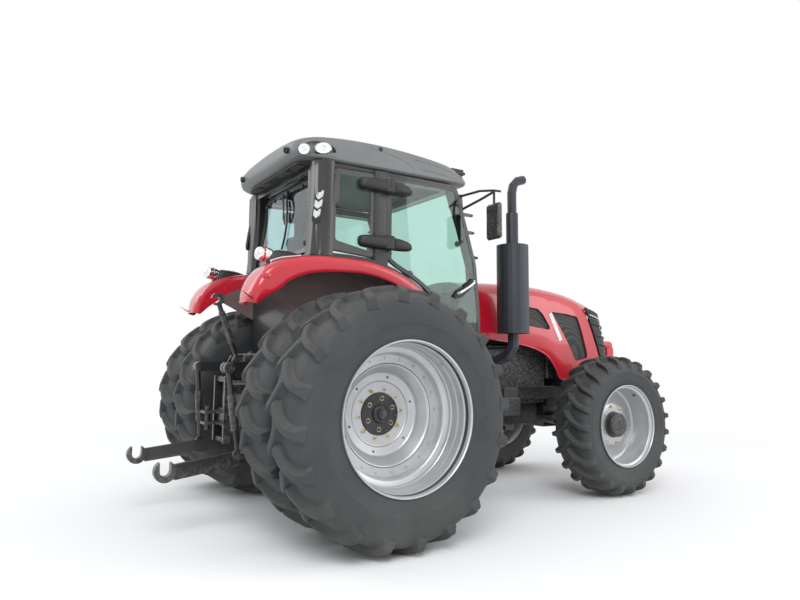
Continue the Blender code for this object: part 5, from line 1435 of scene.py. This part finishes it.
QUARTER = [(-0.176, 2.100), (-0.146, 2.756), (0.222, 2.764), (0.216, 2.070)]
QUARTER_CLEAR = [(-0.130, 2.180), (-0.128, 2.460), (-0.098, 2.505), (-0.098, 2.722), (0.186, 2.730), (0.186, 2.118)]
DOOR = [
    (0.356, 2.765), (0.356, 2.065), (0.430, 2.016), (0.560, 1.955), (0.700, 1.875), (0.830, 1.768), (0.950, 1.625),
    (1.040, 1.470), (1.075, 1.402), (1.318, 1.402), (1.318, 1.640), (1.275, 2.105), (1.172, 2.440), (1.062, 2.765),
]
panes = []
for name, side in SIDES:
    pane = rounded(QUARTER, 0.035, 4)
    bm = bmesh.new()
    add_plate(bm, pane, *sorted((side * 0.736, side * 0.742)))
    panes.append(finished(bm, f"quarter_pane_{name}", "side_glass", "chassis", 30, [f"side_window_{name}"]))
    bm = bmesh.new()
    clear = rounded(QUARTER_CLEAR, 0.028, 4)
    ring = []
    for x, z in clear:  # the matching point on the pane's edge
        away = Vector((x - 0.03, z - 2.42)).normalized() * 1.0
        best = None
        for a, b in zip(pane, pane[1:] + pane[:1]):
            a, b = Vector(a), Vector(b)
            d = b - a
            cross = away.x * d.y - away.y * d.x
            if abs(cross) < 1e-9:
                continue
            origin = a - Vector((0.03, 2.42))
            t = (origin.x * d.y - origin.y * d.x) / cross
            u = (origin.x * away.y - origin.y * away.x) / cross
            if t > 0 and -0.001 <= u <= 1.001:
                best = Vector((0.03, 2.42)) + away * t
        ring.append(tuple(best))
    plate_ring(bm, ring, clear, *sorted((side * 0.7425, side * 0.7445)))
    panes.append(finished(bm, f"quarter_frit_{name}", "frit", "chassis"))
    # a round clamp through the glass, and the black seals beside the pane
    bm = bmesh.new()
    add_dial(bm, (-0.112, side * 0.744, 2.452), (0, side, 0), [(0.019, 0.0), (0.020, 0.006), (0.015, 0.010), (0.012, 0.013), (0.004, 0.014)], 24)
    add_dial(bm, (-0.085, side * 0.744, 2.385), (0, side, 0), [(0.008, 0.0), (0.008, 0.004), (0.004, 0.007)], 16)
    seal = [(x, side * 0.7435, z) for x, z in pane]
    add_tube(bm, seal + seal[:2], 0.0065, 8, 1)
    panes.append(finished(bm, f"quarter_seal_{name}", "black_trim", "chassis"))

    body = f"door_{name}"
    door = rounded(DOOR, 0.030, 3)
    bm = bmesh.new()
    add_plate(bm, shrunk(door, 0.004), *sorted((side * 0.7385, side * 0.7445)))
    panes.append(finished(bm, f"door_pane_{name}", "side_glass", body, 30, [f"door_glass_{name}"]))
    bm = bmesh.new()
    plate_ring(bm, door, shrunk(door, 0.026), *sorted((side * 0.7155, side * 0.7375)))
    plate_ring(bm, shrunk(door, 0.001), shrunk(door, 0.030), *sorted((side * 0.7447, side * 0.7462)))
    edge = [(x, side * 0.742, z) for x, z in shrunk(door, 0.001)]
    add_tube(bm, edge + edge[:2], 0.0055, 8, 1)
    # the dark corner panel ahead of the latch and the brace that runs down from it
    corner = [(1.016, 1.520), (1.140, 1.930), (1.262, 1.985), (1.300, 1.640), (1.300, 1.420), (1.085, 1.420)]
    add_plate(bm, rounded(corner, 0.02, 3), *sorted((side * 0.7165, side * 0.7375)))
    panes.append(finished(bm, f"slim_door_frame_{name}", "black_frame", body, 30, [f"door_frame_{name}"]))
print("panes", len(panes), "pieces")

# %% [markdown]
# Each door turns on two big hinges under black covers. The rear cover and its barrel stay
# on the cab. The front cover is cut out round the barrel, so that it can swing past it,
# and the barrel leaves out the sector that the pane swings through.

# %% Hinge covers and door handles
HINGE_X, HINGE_Y = 0.346, 0.764
BARREL_R = 0.056
COVER_FACE = 0.810       # how far out the covers reach
COVER_FOOT = -0.0172     # the barrel's flat side, just off the cab, from the hinge axis


def cover_rows(side, stations):
    """Rounded upright sections along x: (x, height low, height high, outer face)."""
    rows = []
    for x, low, high, face in stations:
        depth = face - 0.7465
        row = []
        for k in range(17):
            a = math.pi * k / 16
            y = 0.7465 + depth * (abs(math.sin(a)) ** 0.55)
            z = (low + high) / 2 - (high - low) / 2 * (abs(math.cos(a)) ** 0.7) * (1 if math.cos(a) >= 0 else -1)
            row.append((x, side * y, z))
        rows.append(row)
    return rows


hinges = []
for name, side in SIDES:
    for label, z in (("high", 2.662), ("low", 2.196)):
        half = 0.046
        rear = [
            (0.066, z - 0.018, z + 0.018, 0.760), (0.072, z - 0.032, z + 0.030, 0.785), (0.092, z - half, z + half - 0.002, COVER_FACE - 0.005),
            (0.130, z - half - 0.004, z + half + 0.004, COVER_FACE), (0.220, z - half - 0.006, z + half + 0.008, COVER_FACE + 0.002), (0.318, z - half - 0.006, z + half + 0.008, COVER_FACE + 0.002),
        ]
        bm = bmesh.new()
        loft(bm, cover_rows(side, rear), around=True, ends=True)
        lathe_rows = [(BARREL_R - 0.010, z - half - 0.010), (BARREL_R, z - half), (BARREL_R, z + half + 0.002), (BARREL_R - 0.010, z + half + 0.012)]
        rings = []
        for r, height in lathe_rows:
            arc = [math.radians(41 + 139 * k / 18) for k in range(19)]
            ring = [(r * math.cos(a), r * math.sin(a)) for a in arc] + [(-r, COVER_FOOT), (0.005, COVER_FOOT), (0.0165, 0.0)]
            rings.append([(HINGE_X + along, side * (HINGE_Y + out), height) for along, out in ring])
        loft(bm, rings, around=True, ends=True)
        hinges.append(finished(bm, f"hinge_cover_rear_{label}_{name}", "black_trim", "chassis", 40))
        front = [
            (0.352, z - half - 0.005, z + half + 0.006, 0.7900), (0.372, z - half - 0.005, z + half + 0.006, 0.8000), (0.400, z - half - 0.005, z + half + 0.004, COVER_FACE),
            (0.450, z - half - 0.004, z + half, COVER_FACE), (0.510, z - half - 0.002, z + half - 0.012, COVER_FACE - 0.006), (0.552, z - half + 0.004, z + half - 0.026, COVER_FACE - 0.020),
            (0.572, z - half + 0.014, z + half - 0.040, 0.770),
        ]
        bm = bmesh.new()
        loft(bm, cover_rows(side, front), around=True, ends=True)
        cover = object_of(bm, f"hinge_cover_front_{label}_{name}")
        bm = bmesh.new()
        add_rod(bm, (HINGE_X, side * HINGE_Y, z - 0.2), (HINGE_X, side * HINGE_Y, z + 0.2), BARREL_R + 0.003, sides=48)
        carve(cover, object_of(bm, "clearance"))
        hinges.append(hang(cover, "black_trim", f"door_{name}", 40))
    bm = bmesh.new()
    add_tube(bm, [(1.060, side * 0.772, 1.836), (1.085, side * 0.792, 1.852), (1.150, side * 0.800, 1.894), (1.215, side * 0.792, 1.936), (1.236, side * 0.772, 1.950)], [0.010, 0.013, 0.012, 0.012, 0.009], 12, 4)
    add_rod(bm, (1.236, side * 0.738, 1.950), (1.236, side * 0.776, 1.950), 0.012, sides=14, edge=0.002)
    add_rod(bm, (1.060, side * 0.738, 1.836), (1.060, side * 0.776, 1.836), 0.012, sides=14, edge=0.002)
    hinges.append(finished(bm, f"door_handle_{name}", "chrome", f"door_{name}"))
    bm = bmesh.new()
    grip = [(1.015, 1.800), (1.055, 1.862), (1.130, 1.905), (1.235, 1.985), (1.262, 1.950), (1.165, 1.858), (1.085, 1.795)]
    add_plate(bm, rounded(grip, 0.015, 3), *sorted((side * 0.7465, side * 0.766)))
    add_dial(bm, (1.060, side * 0.7465, 2.270), (0, side, 0), [(0.024, 0.0), (0.025, 0.007), (0.019, 0.012), (0.006, 0.013)], 24)
    add_dial(bm, (1.115, side * 0.7465, 2.295), (0, side, 0), [(0.010, 0.0), (0.010, 0.008), (0.006, 0.011)], 16)
    add_tube(bm, [(1.060, side * 0.757, 2.270), (1.090, side * 0.760, 2.285), (1.130, side * 0.754, 2.300)], 0.006, 8, 3)
    hinges.append(finished(bm, f"latch_plate_{name}", "black_trim", f"door_{name}"))
print("hinges and handles", len(hinges), "pieces")

# %% [markdown]
# The rear window leans a little and hangs between broad moulded posts. Each post carries a
# tail lamp of three bright chevrons in a black housing. A wiper with its motor and arm
# lies on the pane, and round clamps hold the pane in its corners.

# %% Rear window, posts and tail lamps
REAR_PANE = [(-0.520, 2.105), (-0.492, 2.725), (0.492, 2.725), (0.520, 2.105)]
REAR_LOW_X, REAR_HIGH_X = -0.262, -0.205


def rear_x(z):
    return REAR_LOW_X + (REAR_HIGH_X - REAR_LOW_X) * (z - 2.105) / (2.725 - 2.105)


def leaned(piece):
    """Shears a piece so that its x follows the lean of the rear pane."""
    for vert in piece.data.vertices:
        vert.co.x += rear_x(vert.co.z)
    return piece


back = []
bm = bmesh.new()
outline = rounded(REAR_PANE, 0.045, 5)
add_plate(bm, outline, -0.003, 0.003, "x")
back.append(hang(leaned(object_of(bm, "rear_pane")), "rear_glass", "chassis", 30, ["rear_window"]))
bm = bmesh.new()
plate_ring(bm, outline, shrunk(outline, 0.034), -0.0052, -0.0032, "x")
back.append(hang(leaned(object_of(bm, "rear_frit")), "frit", "chassis", 30))
bm = bmesh.new()
for y, z in ((-0.462, 2.655), (0.462, 2.655), (-0.300, 2.690), (0.300, 2.690), (-0.470, 2.180), (0.470, 2.180), (-0.10, 2.150)):
    add_dial(bm, (rear_x(z) - 0.004, y, z), (-1, 0, 0), [(0.019, 0.0), (0.020, 0.006), (0.015, 0.011), (0.004, 0.013)], 24)
# the wiper: motor, arm and blade
x = rear_x(2.66) - 0.006
add_block(bm, (x - 0.035, x), (-0.055, 0.055), (2.650, 2.705), 0.012)
add_dial(bm, (x - 0.030, 0.0, 2.662), (-1, 0, 0), [(0.020, 0.0), (0.020, 0.012), (0.014, 0.018)], 20)
arm = [(rear_x(z) - off, y, z) for off, y, z in ((0.050, 0.0, 2.662), (0.052, -0.045, 2.58), (0.045, -0.060, 2.48), (0.026, -0.060, 2.40))]
add_tube(bm, arm, [0.010, 0.008, 0.007, 0.006], 8, 4)
blade = [(rear_x(z) - 0.018, y, z) for y, z in ((-0.020, 2.625), (-0.060, 2.52), (-0.076, 2.40), (-0.062, 2.28), (-0.030, 2.190))]
add_tube(bm, blade, 0.0075, 8, 4)
add_tube(bm, [p + Vector((0.008, 0, 0)) for p in map(Vector, blade)], 0.0040, 6, 4)
back.append(finished(bm, "rear_clamps_and_wiper", "black_trim", "chassis"))

CHEVRON_LOW, CHEVRON_HIGH = 2.335, 2.560
for name, side in SIDES:
    # post cover: a broad rounded moulding round the corner of the cab
    rows = []
    for z, flare in ((2.052, 0.016), (2.090, 0.010), (2.20, 0.004), (2.42, 0.0), (2.62, 0.0), (2.742, 0.004), (2.798, 0.012)):
        lean = 0.045 * (z - 2.05) / 0.75
        front, rear_face = -0.148 + flare * 0.3, -0.306 + lean * 0.5 - flare
        row = rounded([(front, 0.700), (front, 0.7505), (-0.215 + lean * 0.3, 0.7515 + flare * 0.2), (-0.262 + lean * 0.4, 0.742 + flare), (rear_face, 0.700), (rear_face, 0.590), (rear_face + 0.035, 0.545), (rear_face + 0.060, 0.600)], 0.015, 2)
        rows.append([(px, side * py, z) for px, py in row])
    bm = bmesh.new()
    loft(bm, rows, around=True, ends=True)
    back.append(finished(bm, f"rear_post_{name}", "black_frame", "chassis", 40))
    # housing and three chevrons, on the rounded corner
    look = Vector((-0.75, side * 0.66, 0.0)).normalized()
    sideways = Vector((-look.y, look.x, 0)) * (1 if side > 0 else -1)
    centre = Vector((-0.272, side * 0.742, 2.440))

    def on_lamp(u, v, out):
        return centre + sideways * u + Vector((0.020 * v / 0.13, 0, v)) + look * out

    bm = bmesh.new()
    shield = rounded([(-0.034, -0.125), (0.012, -0.150), (0.040, -0.120), (0.040, 0.090), (0.022, 0.140), (-0.020, 0.118), (-0.040, 0.020)], 0.014, 3)
    loft(bm, [[on_lamp(u * k, v * k, out) for u, v in shield] for k, out in ((1.06, -0.010), (1.05, 0.006), (0.96, 0.012))], around=True, ends=True)
    back.append(finished(bm, f"tail_lamp_housing_{name}", "black_trim", "chassis", 40))
    bm = bmesh.new()
    for i in range(3):
        low = -0.116 + 0.074 * i
        wide = 0.031 - 0.003 * abs(i - 1)
        chevron = [(-wide, low + 0.024), (0.0, low), (wide, low + 0.024), (wide, low + 0.076), (0.0, low + 0.053), (-wide, low + 0.076)]
        loft(bm, [[on_lamp(u * k, v, out) for u, v in rounded(chevron, 0.006, 2)] for k, out in ((1.0, 0.010), (1.0, 0.017), (0.86, 0.021))], around=True, ends=True)
    back.append(finished(bm, f"tail_lamp_chevrons_{name}", "lens_clear", "chassis", 30))
    # door post between the panes, and the seam strip on it
    bm = bmesh.new()
    add_block(bm, (0.226, 0.3515), tuple(sorted((side * 0.700, side * 0.7480))), (2.045, 2.790), 0.006)
    add_block(bm, (0.262, 0.330), tuple(sorted((side * 0.7470, side * 0.7505))), (2.070, 2.770), 0.0015)
    back.append(finished(bm, f"door_post_cover_{name}", "grey_plastic", "chassis"))
    # three brackets ahead of the front post
    bm = bmesh.new()
    for x, z, reach in ((1.110, 2.560, 0.185), (1.190, 2.402, 0.120), (1.250, 2.180, 0.100)):
        tip = x + reach
        arm = [(x - 0.03, z - 0.020), (tip - 0.016, z - 0.013), (tip, z - 0.006), (tip, z + 0.008), (tip - 0.020, z + 0.014), (x - 0.03, z + 0.018)]
        add_plate(bm, rounded(arm, 0.006, 2), *sorted((side * 0.676, side * 0.688)))
        add_rod(bm, (tip - 0.014, side * 0.670, z), (tip - 0.014, side * 0.698, z), 0.009, sides=12, edge=0.002)
        add_rod(bm, (x + 0.02, side * 0.672, z), (x + 0.02, side * 0.694, z), 0.006, sides=10)
    back.append(finished(bm, f"post_brackets_{name}", "cast_black", "chassis"))
print("rear of the cab", len(back), "pieces")
# %% [markdown]
# The driver's seat is foam under sewn cloth. Each cushion is blown up a little as cloth
# with air inside, so its faces crown and its sides pull in between the corners. The sewn
# channels are pressed in afterwards, and a piped seam is laid round the edges.

# %% Seat, steering wheel and levers
SEAT_VOXEL = 0.008       # spacing of the cushion's cloth
CUSHION_CAP = 0.024      # how far the air may push a point
PAN_TOP = 1.604          # the cushion lies flat on its pan here
CHANNELS = (-0.135, 0.135)


def plumped(piece):
    """Blows a closed cushion up as cloth, within the cap, and smooths it once."""
    remesh = piece.modifiers.new("even", "REMESH")
    remesh.mode = "VOXEL"
    remesh.voxel_size = SEAT_VOXEL
    applied(piece)
    before = [vert.co.copy() for vert in piece.data.vertices]
    cloth = piece.modifiers.new("plump", "CLOTH")
    cloth.settings.use_pressure = True
    cloth.settings.uniform_pressure_force = 4.0
    cloth.settings.effector_weights.gravity = 0.0
    scene = bpy.context.scene
    scene.frame_start, scene.frame_end = 1, 20
    for step in range(1, 21):
        scene.frame_set(step)
    applied(piece)
    scene.frame_set(1)
    for vert, start in zip(piece.data.vertices, before):
        moved = vert.co - start
        if moved.length > CUSHION_CAP:
            vert.co = start + moved.normalized() * CUSHION_CAP
    piece.modifiers.new("smooth", "SUBSURF").levels = 1
    return applied(piece)


def pressed_channels(piece, surface, depth=0.009, width=0.016):
    """Presses sewn channels into the face that surface points to."""
    for vert in piece.data.vertices:
        for line in CHANNELS:
            off = abs(vert.co.y - line) / width
            facing = vert.normal.dot(surface)
            if off < 1 and facing > 0.2:
                vert.co -= surface * depth * (1 - off * off) ** 2 * min(1.0, facing * 1.5)
    return piece


def piping(piece, loop, radius=0.0042):
    """A piped seam laid on the cushion along a closed loop of points."""
    tree = BVHTree.FromPolygons([v.co for v in piece.data.vertices], [p.vertices[:] for p in piece.data.polygons])
    bm = bmesh.new()
    line = [tree.find_nearest(Vector(p))[0] for p in loop]
    add_tube(bm, line + line[:2], radius, 8, 1)
    return bm


bm = bmesh.new()
add_block(bm, (0.086, 0.424), (-0.232, 0.232), (1.612, 1.716), 0.030, 3)
cushion = plumped(object_of(bm, "seat_cushion"))
for vert in cushion.data.vertices:
    vert.co.z = max(vert.co.z, PAN_TOP)
    vert.co.z += 0.010 * max(0.0, vert.co.z - 1.68) / 0.05 * min(1.0, abs(vert.co.y) / 0.2)
pressed_channels(cushion, Vector((0, 0, 1)))
seat_loop = [(x, y, 1.706) for x, y in rounded([(0.075, -0.245), (0.075, 0.245), (0.440, 0.245), (0.440, -0.245)], 0.06, 6)]
even_loop = smooth_line(seat_loop, 3, closed=True)
seam = piping(cushion, even_loop)
seat_pieces = [hang(cushion, "seat_fabric", "chassis", 60, ["driver_seat"])]
seat_pieces.append(finished(seam, "seat_cushion_seam", "black_trim", "chassis", 60))

bm = bmesh.new()
back_side = rounded([(-0.040, 1.668), (0.046, 1.690), (-0.044, 2.366), (-0.136, 2.354)], 0.03, 3)
add_plate(bm, back_side, -0.215, 0.215)
backrest = plumped(object_of(bm, "seat_back_cushion"))
facing = Vector((0.99, 0, 0.13)).normalized()
for vert in backrest.data.vertices:  # the shoulders draw in towards the top
    vert.co.y *= 1 - 0.20 * max(0.0, (vert.co.z - 2.05) / 0.32) ** 2
pressed_channels(backrest, facing)
back_loop = [(0.060 - 0.13 * (z - 1.69), y, z) for y, z in rounded([(-0.232, 1.69), (-0.232, 2.20), (-0.180, 2.375), (0.180, 2.375), (0.232, 2.20), (0.232, 1.69)], 0.06, 6)]
seam = piping(backrest, smooth_line(back_loop, 3, closed=True))
seat_pieces.append(hang(backrest, "seat_fabric", "chassis", 60))
seat_pieces.append(finished(seam, "seat_back_seam", "black_trim", "chassis", 60))

# the base: floor rails, a rubber bellows over the suspension, the pan and two armrests
bm = bmesh.new()
for y in (-0.15, 0.15):
    add_block(bm, (-0.03, 0.34), (y - 0.018, y + 0.018), (1.300, 1.326), 0.004)
rows = []
for i in range(13):
    half = 0.172 if i % 2 else 0.150
    z = 1.326 + 0.0185 * i
    rows.append([(x, y, z) for x, y in rounded([(0.14 - half, -half), (0.14 + half, -half), (0.14 + half, half), (0.14 - half, half)], 0.04, 3)])
loft(bm, rows, around=True, ends=True)
add_block(bm, (0.02, 0.43), (-0.225, 0.225), (1.548, PAN_TOP), 0.014, 3)
for side in (-1, 1):
    add_block(bm, (0.02, 0.30), tuple(sorted((side * 0.262, side * 0.318))), (1.842, 1.880), 0.016, 3)
    add_tube(bm, [(-0.02, side * 0.225, 1.76), (-0.01, side * 0.262, 1.80), (0.06, side * 0.286, 1.850)], 0.014, 10, 4)
add_tube(bm, [(0.34, -0.20, 1.57), (0.42, -0.215, 1.575), (0.46, -0.215, 1.59)], 0.008, 8, 4)
seat_pieces.append(finished(bm, "seat_base", "black_trim", "chassis", 40))

# the wheel stands square to its sloping column: rim, three spokes and a hub
column = Vector((0.900 - 1.120, 0, 1.960 - 1.600)).normalized()
wheel_centre = Vector((0.900, 0, 1.960)) + column * 0.045
tilt = column.to_track_quat("Z", "Y").to_matrix()
bm = bmesh.new()
rows = []
for i in range(64):
    a = 2 * math.pi * i / 64
    ring = []
    for k in range(14):
        b = 2 * math.pi * k / 14
        grip = 0.0135 + (0.0010 if k in (4, 10) else 0.0)
        r = 0.200 + grip * math.cos(b)
        ring.append(wheel_centre + tilt @ Vector((r * math.cos(a), r * math.sin(a), grip * math.sin(b))))
    rows.append(ring)
rows.append(rows[0])
loft(bm, rows, around=True)
bmesh.ops.remove_doubles(bm, verts=bm.verts, dist=1e-5)
for i in range(3):
    a = math.pi / 2 + 2 * math.pi * i / 3
    spoke = [wheel_centre + tilt @ Vector((r * math.cos(a), r * math.sin(a), drop)) for r, drop in ((0.020, -0.022), (0.080, -0.016), (0.150, -0.006), (0.194, 0.0))]
    add_tube(bm, spoke, [0.017, 0.014, 0.012, 0.010], 10, 3, flat=1.5)
profile = [(-0.046, 0.026), (-0.030, 0.038), (-0.008, 0.044), (0.006, 0.038), (0.012, 0.020)]
loft(bm, [[wheel_centre + tilt @ Vector((r * math.cos(2 * math.pi * k / 28), r * math.sin(2 * math.pi * k / 28), out)) for k in range(28)] for out, r in profile], around=True, ends=True)
add_rod(bm, wheel_centre + tilt @ Vector((0.150, 0.075, 0.005)), wheel_centre + tilt @ Vector((0.150, 0.075, 0.062)), 0.016, 0.020, 16, 0.004)
seat_pieces.append(finished(bm, "sprung_steering_wheel", "black_trim", "steering_wheel", 50, ["steering_wheel"]))

bm = bmesh.new()  # levers beside the seat, with round knobs
for x, y, lean, height in ((0.42, -0.34, 0.03, 0.20), (0.36, -0.36, 0.02, 0.17), (0.30, -0.37, 0.01, 0.15), (0.46, 0.34, 0.03, 0.18)):
    foot = Vector((x, y, 1.700))
    tip = foot + Vector((lean, 0, height))
    add_rod(bm, foot, tip, 0.006, sides=10)
    add_rod(bm, tip, tip + Vector((0.004, 0, 0.034)), 0.015, 0.018, 14, 0.005)
add_block(bm, (0.16, 0.52), (-0.405, -0.315), (1.300, 1.705), 0.02, 3)
add_block(bm, (0.40, 0.52), (0.315, 0.375), (1.300, 1.705), 0.02, 3)
seat_pieces.append(finished(bm, "levers_and_side_console", "cab_trim", "chassis", 40))
print("inside the cab", len(seat_pieces), "pieces")
# %% [markdown]
# The CAD nodes whose shape is already right stay as they are and only get a finish: the
# castings, tanks and steps. The ones that a more detailed piece stands for are hidden by
# now.

# %% Put the finishes on the CAD nodes
NODE_FINISH = {"roof": "roof_plastic", "rear_window": "rear_glass", "console": "cab_trim"}
SLOT_FINISH = {
    "red_paint": "red_paint", "grey_plastic": "grey_plastic", "black_frame": "black_frame",
    "glass": "side_glass", "tyre": "sidewall_rubber", "silver_rim": "rim_silver", "cast_black": "cast_black",
    "dark_blue_steel": "muffler_wrap", "engine_grey": "engine_grey", "seat_fabric": "seat_fabric", "lamp": "lens_clear",
}
for part in frame["record"]["subparts"]:
    node = frame["nodes"][part["node"]]
    node.data.materials.clear()
    node.data.materials.append(FINISH[NODE_FINISH.get(part["node"], SLOT_FINISH[part["material_slot"]])])
# %% [markdown]
# The tractor stands on a plain pale floor in front of a white background, lit by big soft
# lamps, as in a studio. The floor fades to the background's white far away, so no horizon
# shows, and it keeps the soft shadow close to the wheels.

# %% Floor, world and lamps
FLOOR_COLOUR = (0.93, 0.932, 0.935)
FADE_FROM, FADE_TO = 3.2, 8.5


def stage_floor():
    bpy.ops.mesh.primitive_circle_add(vertices=64, radius=180.0, fill_type="NGON")
    floor = bpy.context.object
    floor.name = "floor"
    floor.location = (0, 0, -0.001)
    material = bpy.data.materials.new("floor")
    material.use_nodes = True
    tree = material.node_tree
    shader = tree.nodes["Principled BSDF"]
    shader.inputs["Base Color"].default_value = (*FLOOR_COLOUR, 1)
    shader.inputs["Roughness"].default_value = 0.95
    shader.inputs["Specular IOR Level"].default_value = 0.0
    place = tree.nodes.new("ShaderNodeNewGeometry").outputs["Position"]
    reach = tree.nodes.new("ShaderNodeVectorMath")
    reach.operation = "LENGTH"
    tree.links.new(place, reach.inputs[0])
    far = spread(tree, reach.outputs["Value"], FADE_FROM, FADE_TO)
    seen = seen_by_eye(tree)
    white = tree.nodes.new("ShaderNodeEmission")
    blend = tree.nodes.new("ShaderNodeMixShader")
    tree.links.new(maths(tree, "MULTIPLY", far, seen), blend.inputs[0])
    tree.links.new(shader.outputs[0], blend.inputs[1])
    tree.links.new(white.outputs[0], blend.inputs[2])
    tree.links.new(blend.outputs[0], tree.nodes["Material Output"].inputs["Surface"])
    floor.data.materials.append(material)


def seen_by_eye(tree):
    """1 for what the camera sees, straight or through metal and glass."""
    rays = tree.nodes.new("ShaderNodeLightPath").outputs
    seen = maths(tree, "ADD", rays["Is Camera Ray"], rays["Is Glossy Ray"])
    return maths(tree, "MINIMUM", maths(tree, "ADD", seen, rays["Is Transmission Ray"]), 1.0)


def studio_world(strength):
    world = bpy.data.worlds.new("studio")
    bpy.context.scene.world = world
    world.use_nodes = True
    tree = world.node_tree
    lit = tree.nodes["Background"]
    lit.inputs["Color"].default_value = (0.95, 0.98, 1.0, 1)
    lit.inputs["Strength"].default_value = strength
    white = tree.nodes.new("ShaderNodeBackground")
    white.inputs["Color"].default_value = (1, 1, 1, 1)
    blend = tree.nodes.new("ShaderNodeMixShader")
    tree.links.new(seen_by_eye(tree), blend.inputs[0])
    tree.links.new(lit.outputs[0], blend.inputs[1])
    tree.links.new(white.outputs[0], blend.inputs[2])
    tree.links.new(blend.outputs[0], tree.nodes["World Output"].inputs["Surface"])


def soft_lamp(name, place, aim, size, watts):
    data = bpy.data.lights.new(name, "AREA")
    data.size = size
    data.energy = watts
    lamp = bpy.data.objects.new(name, data)
    bpy.context.scene.collection.objects.link(lamp)
    lamp.location = place
    lamp.rotation_euler = (Vector(aim) - Vector(place)).to_track_quat("-Z", "Y").to_euler()


stage_floor()
studio_world(0.80)
soft_lamp("key", (-6.0, -9.0, 9.0), (0, 0, 1), 6.0, 760)
soft_lamp("fill", (7.0, -7.0, 5.0), (0, 0, 1), 6.0, 240)
soft_lamp("back", (-7.0, 6.0, 7.0), (0, 0, 1), 6.0, 200)
bpy.context.scene.view_settings.view_transform = "Standard"
print("floor, world and lamps are set")
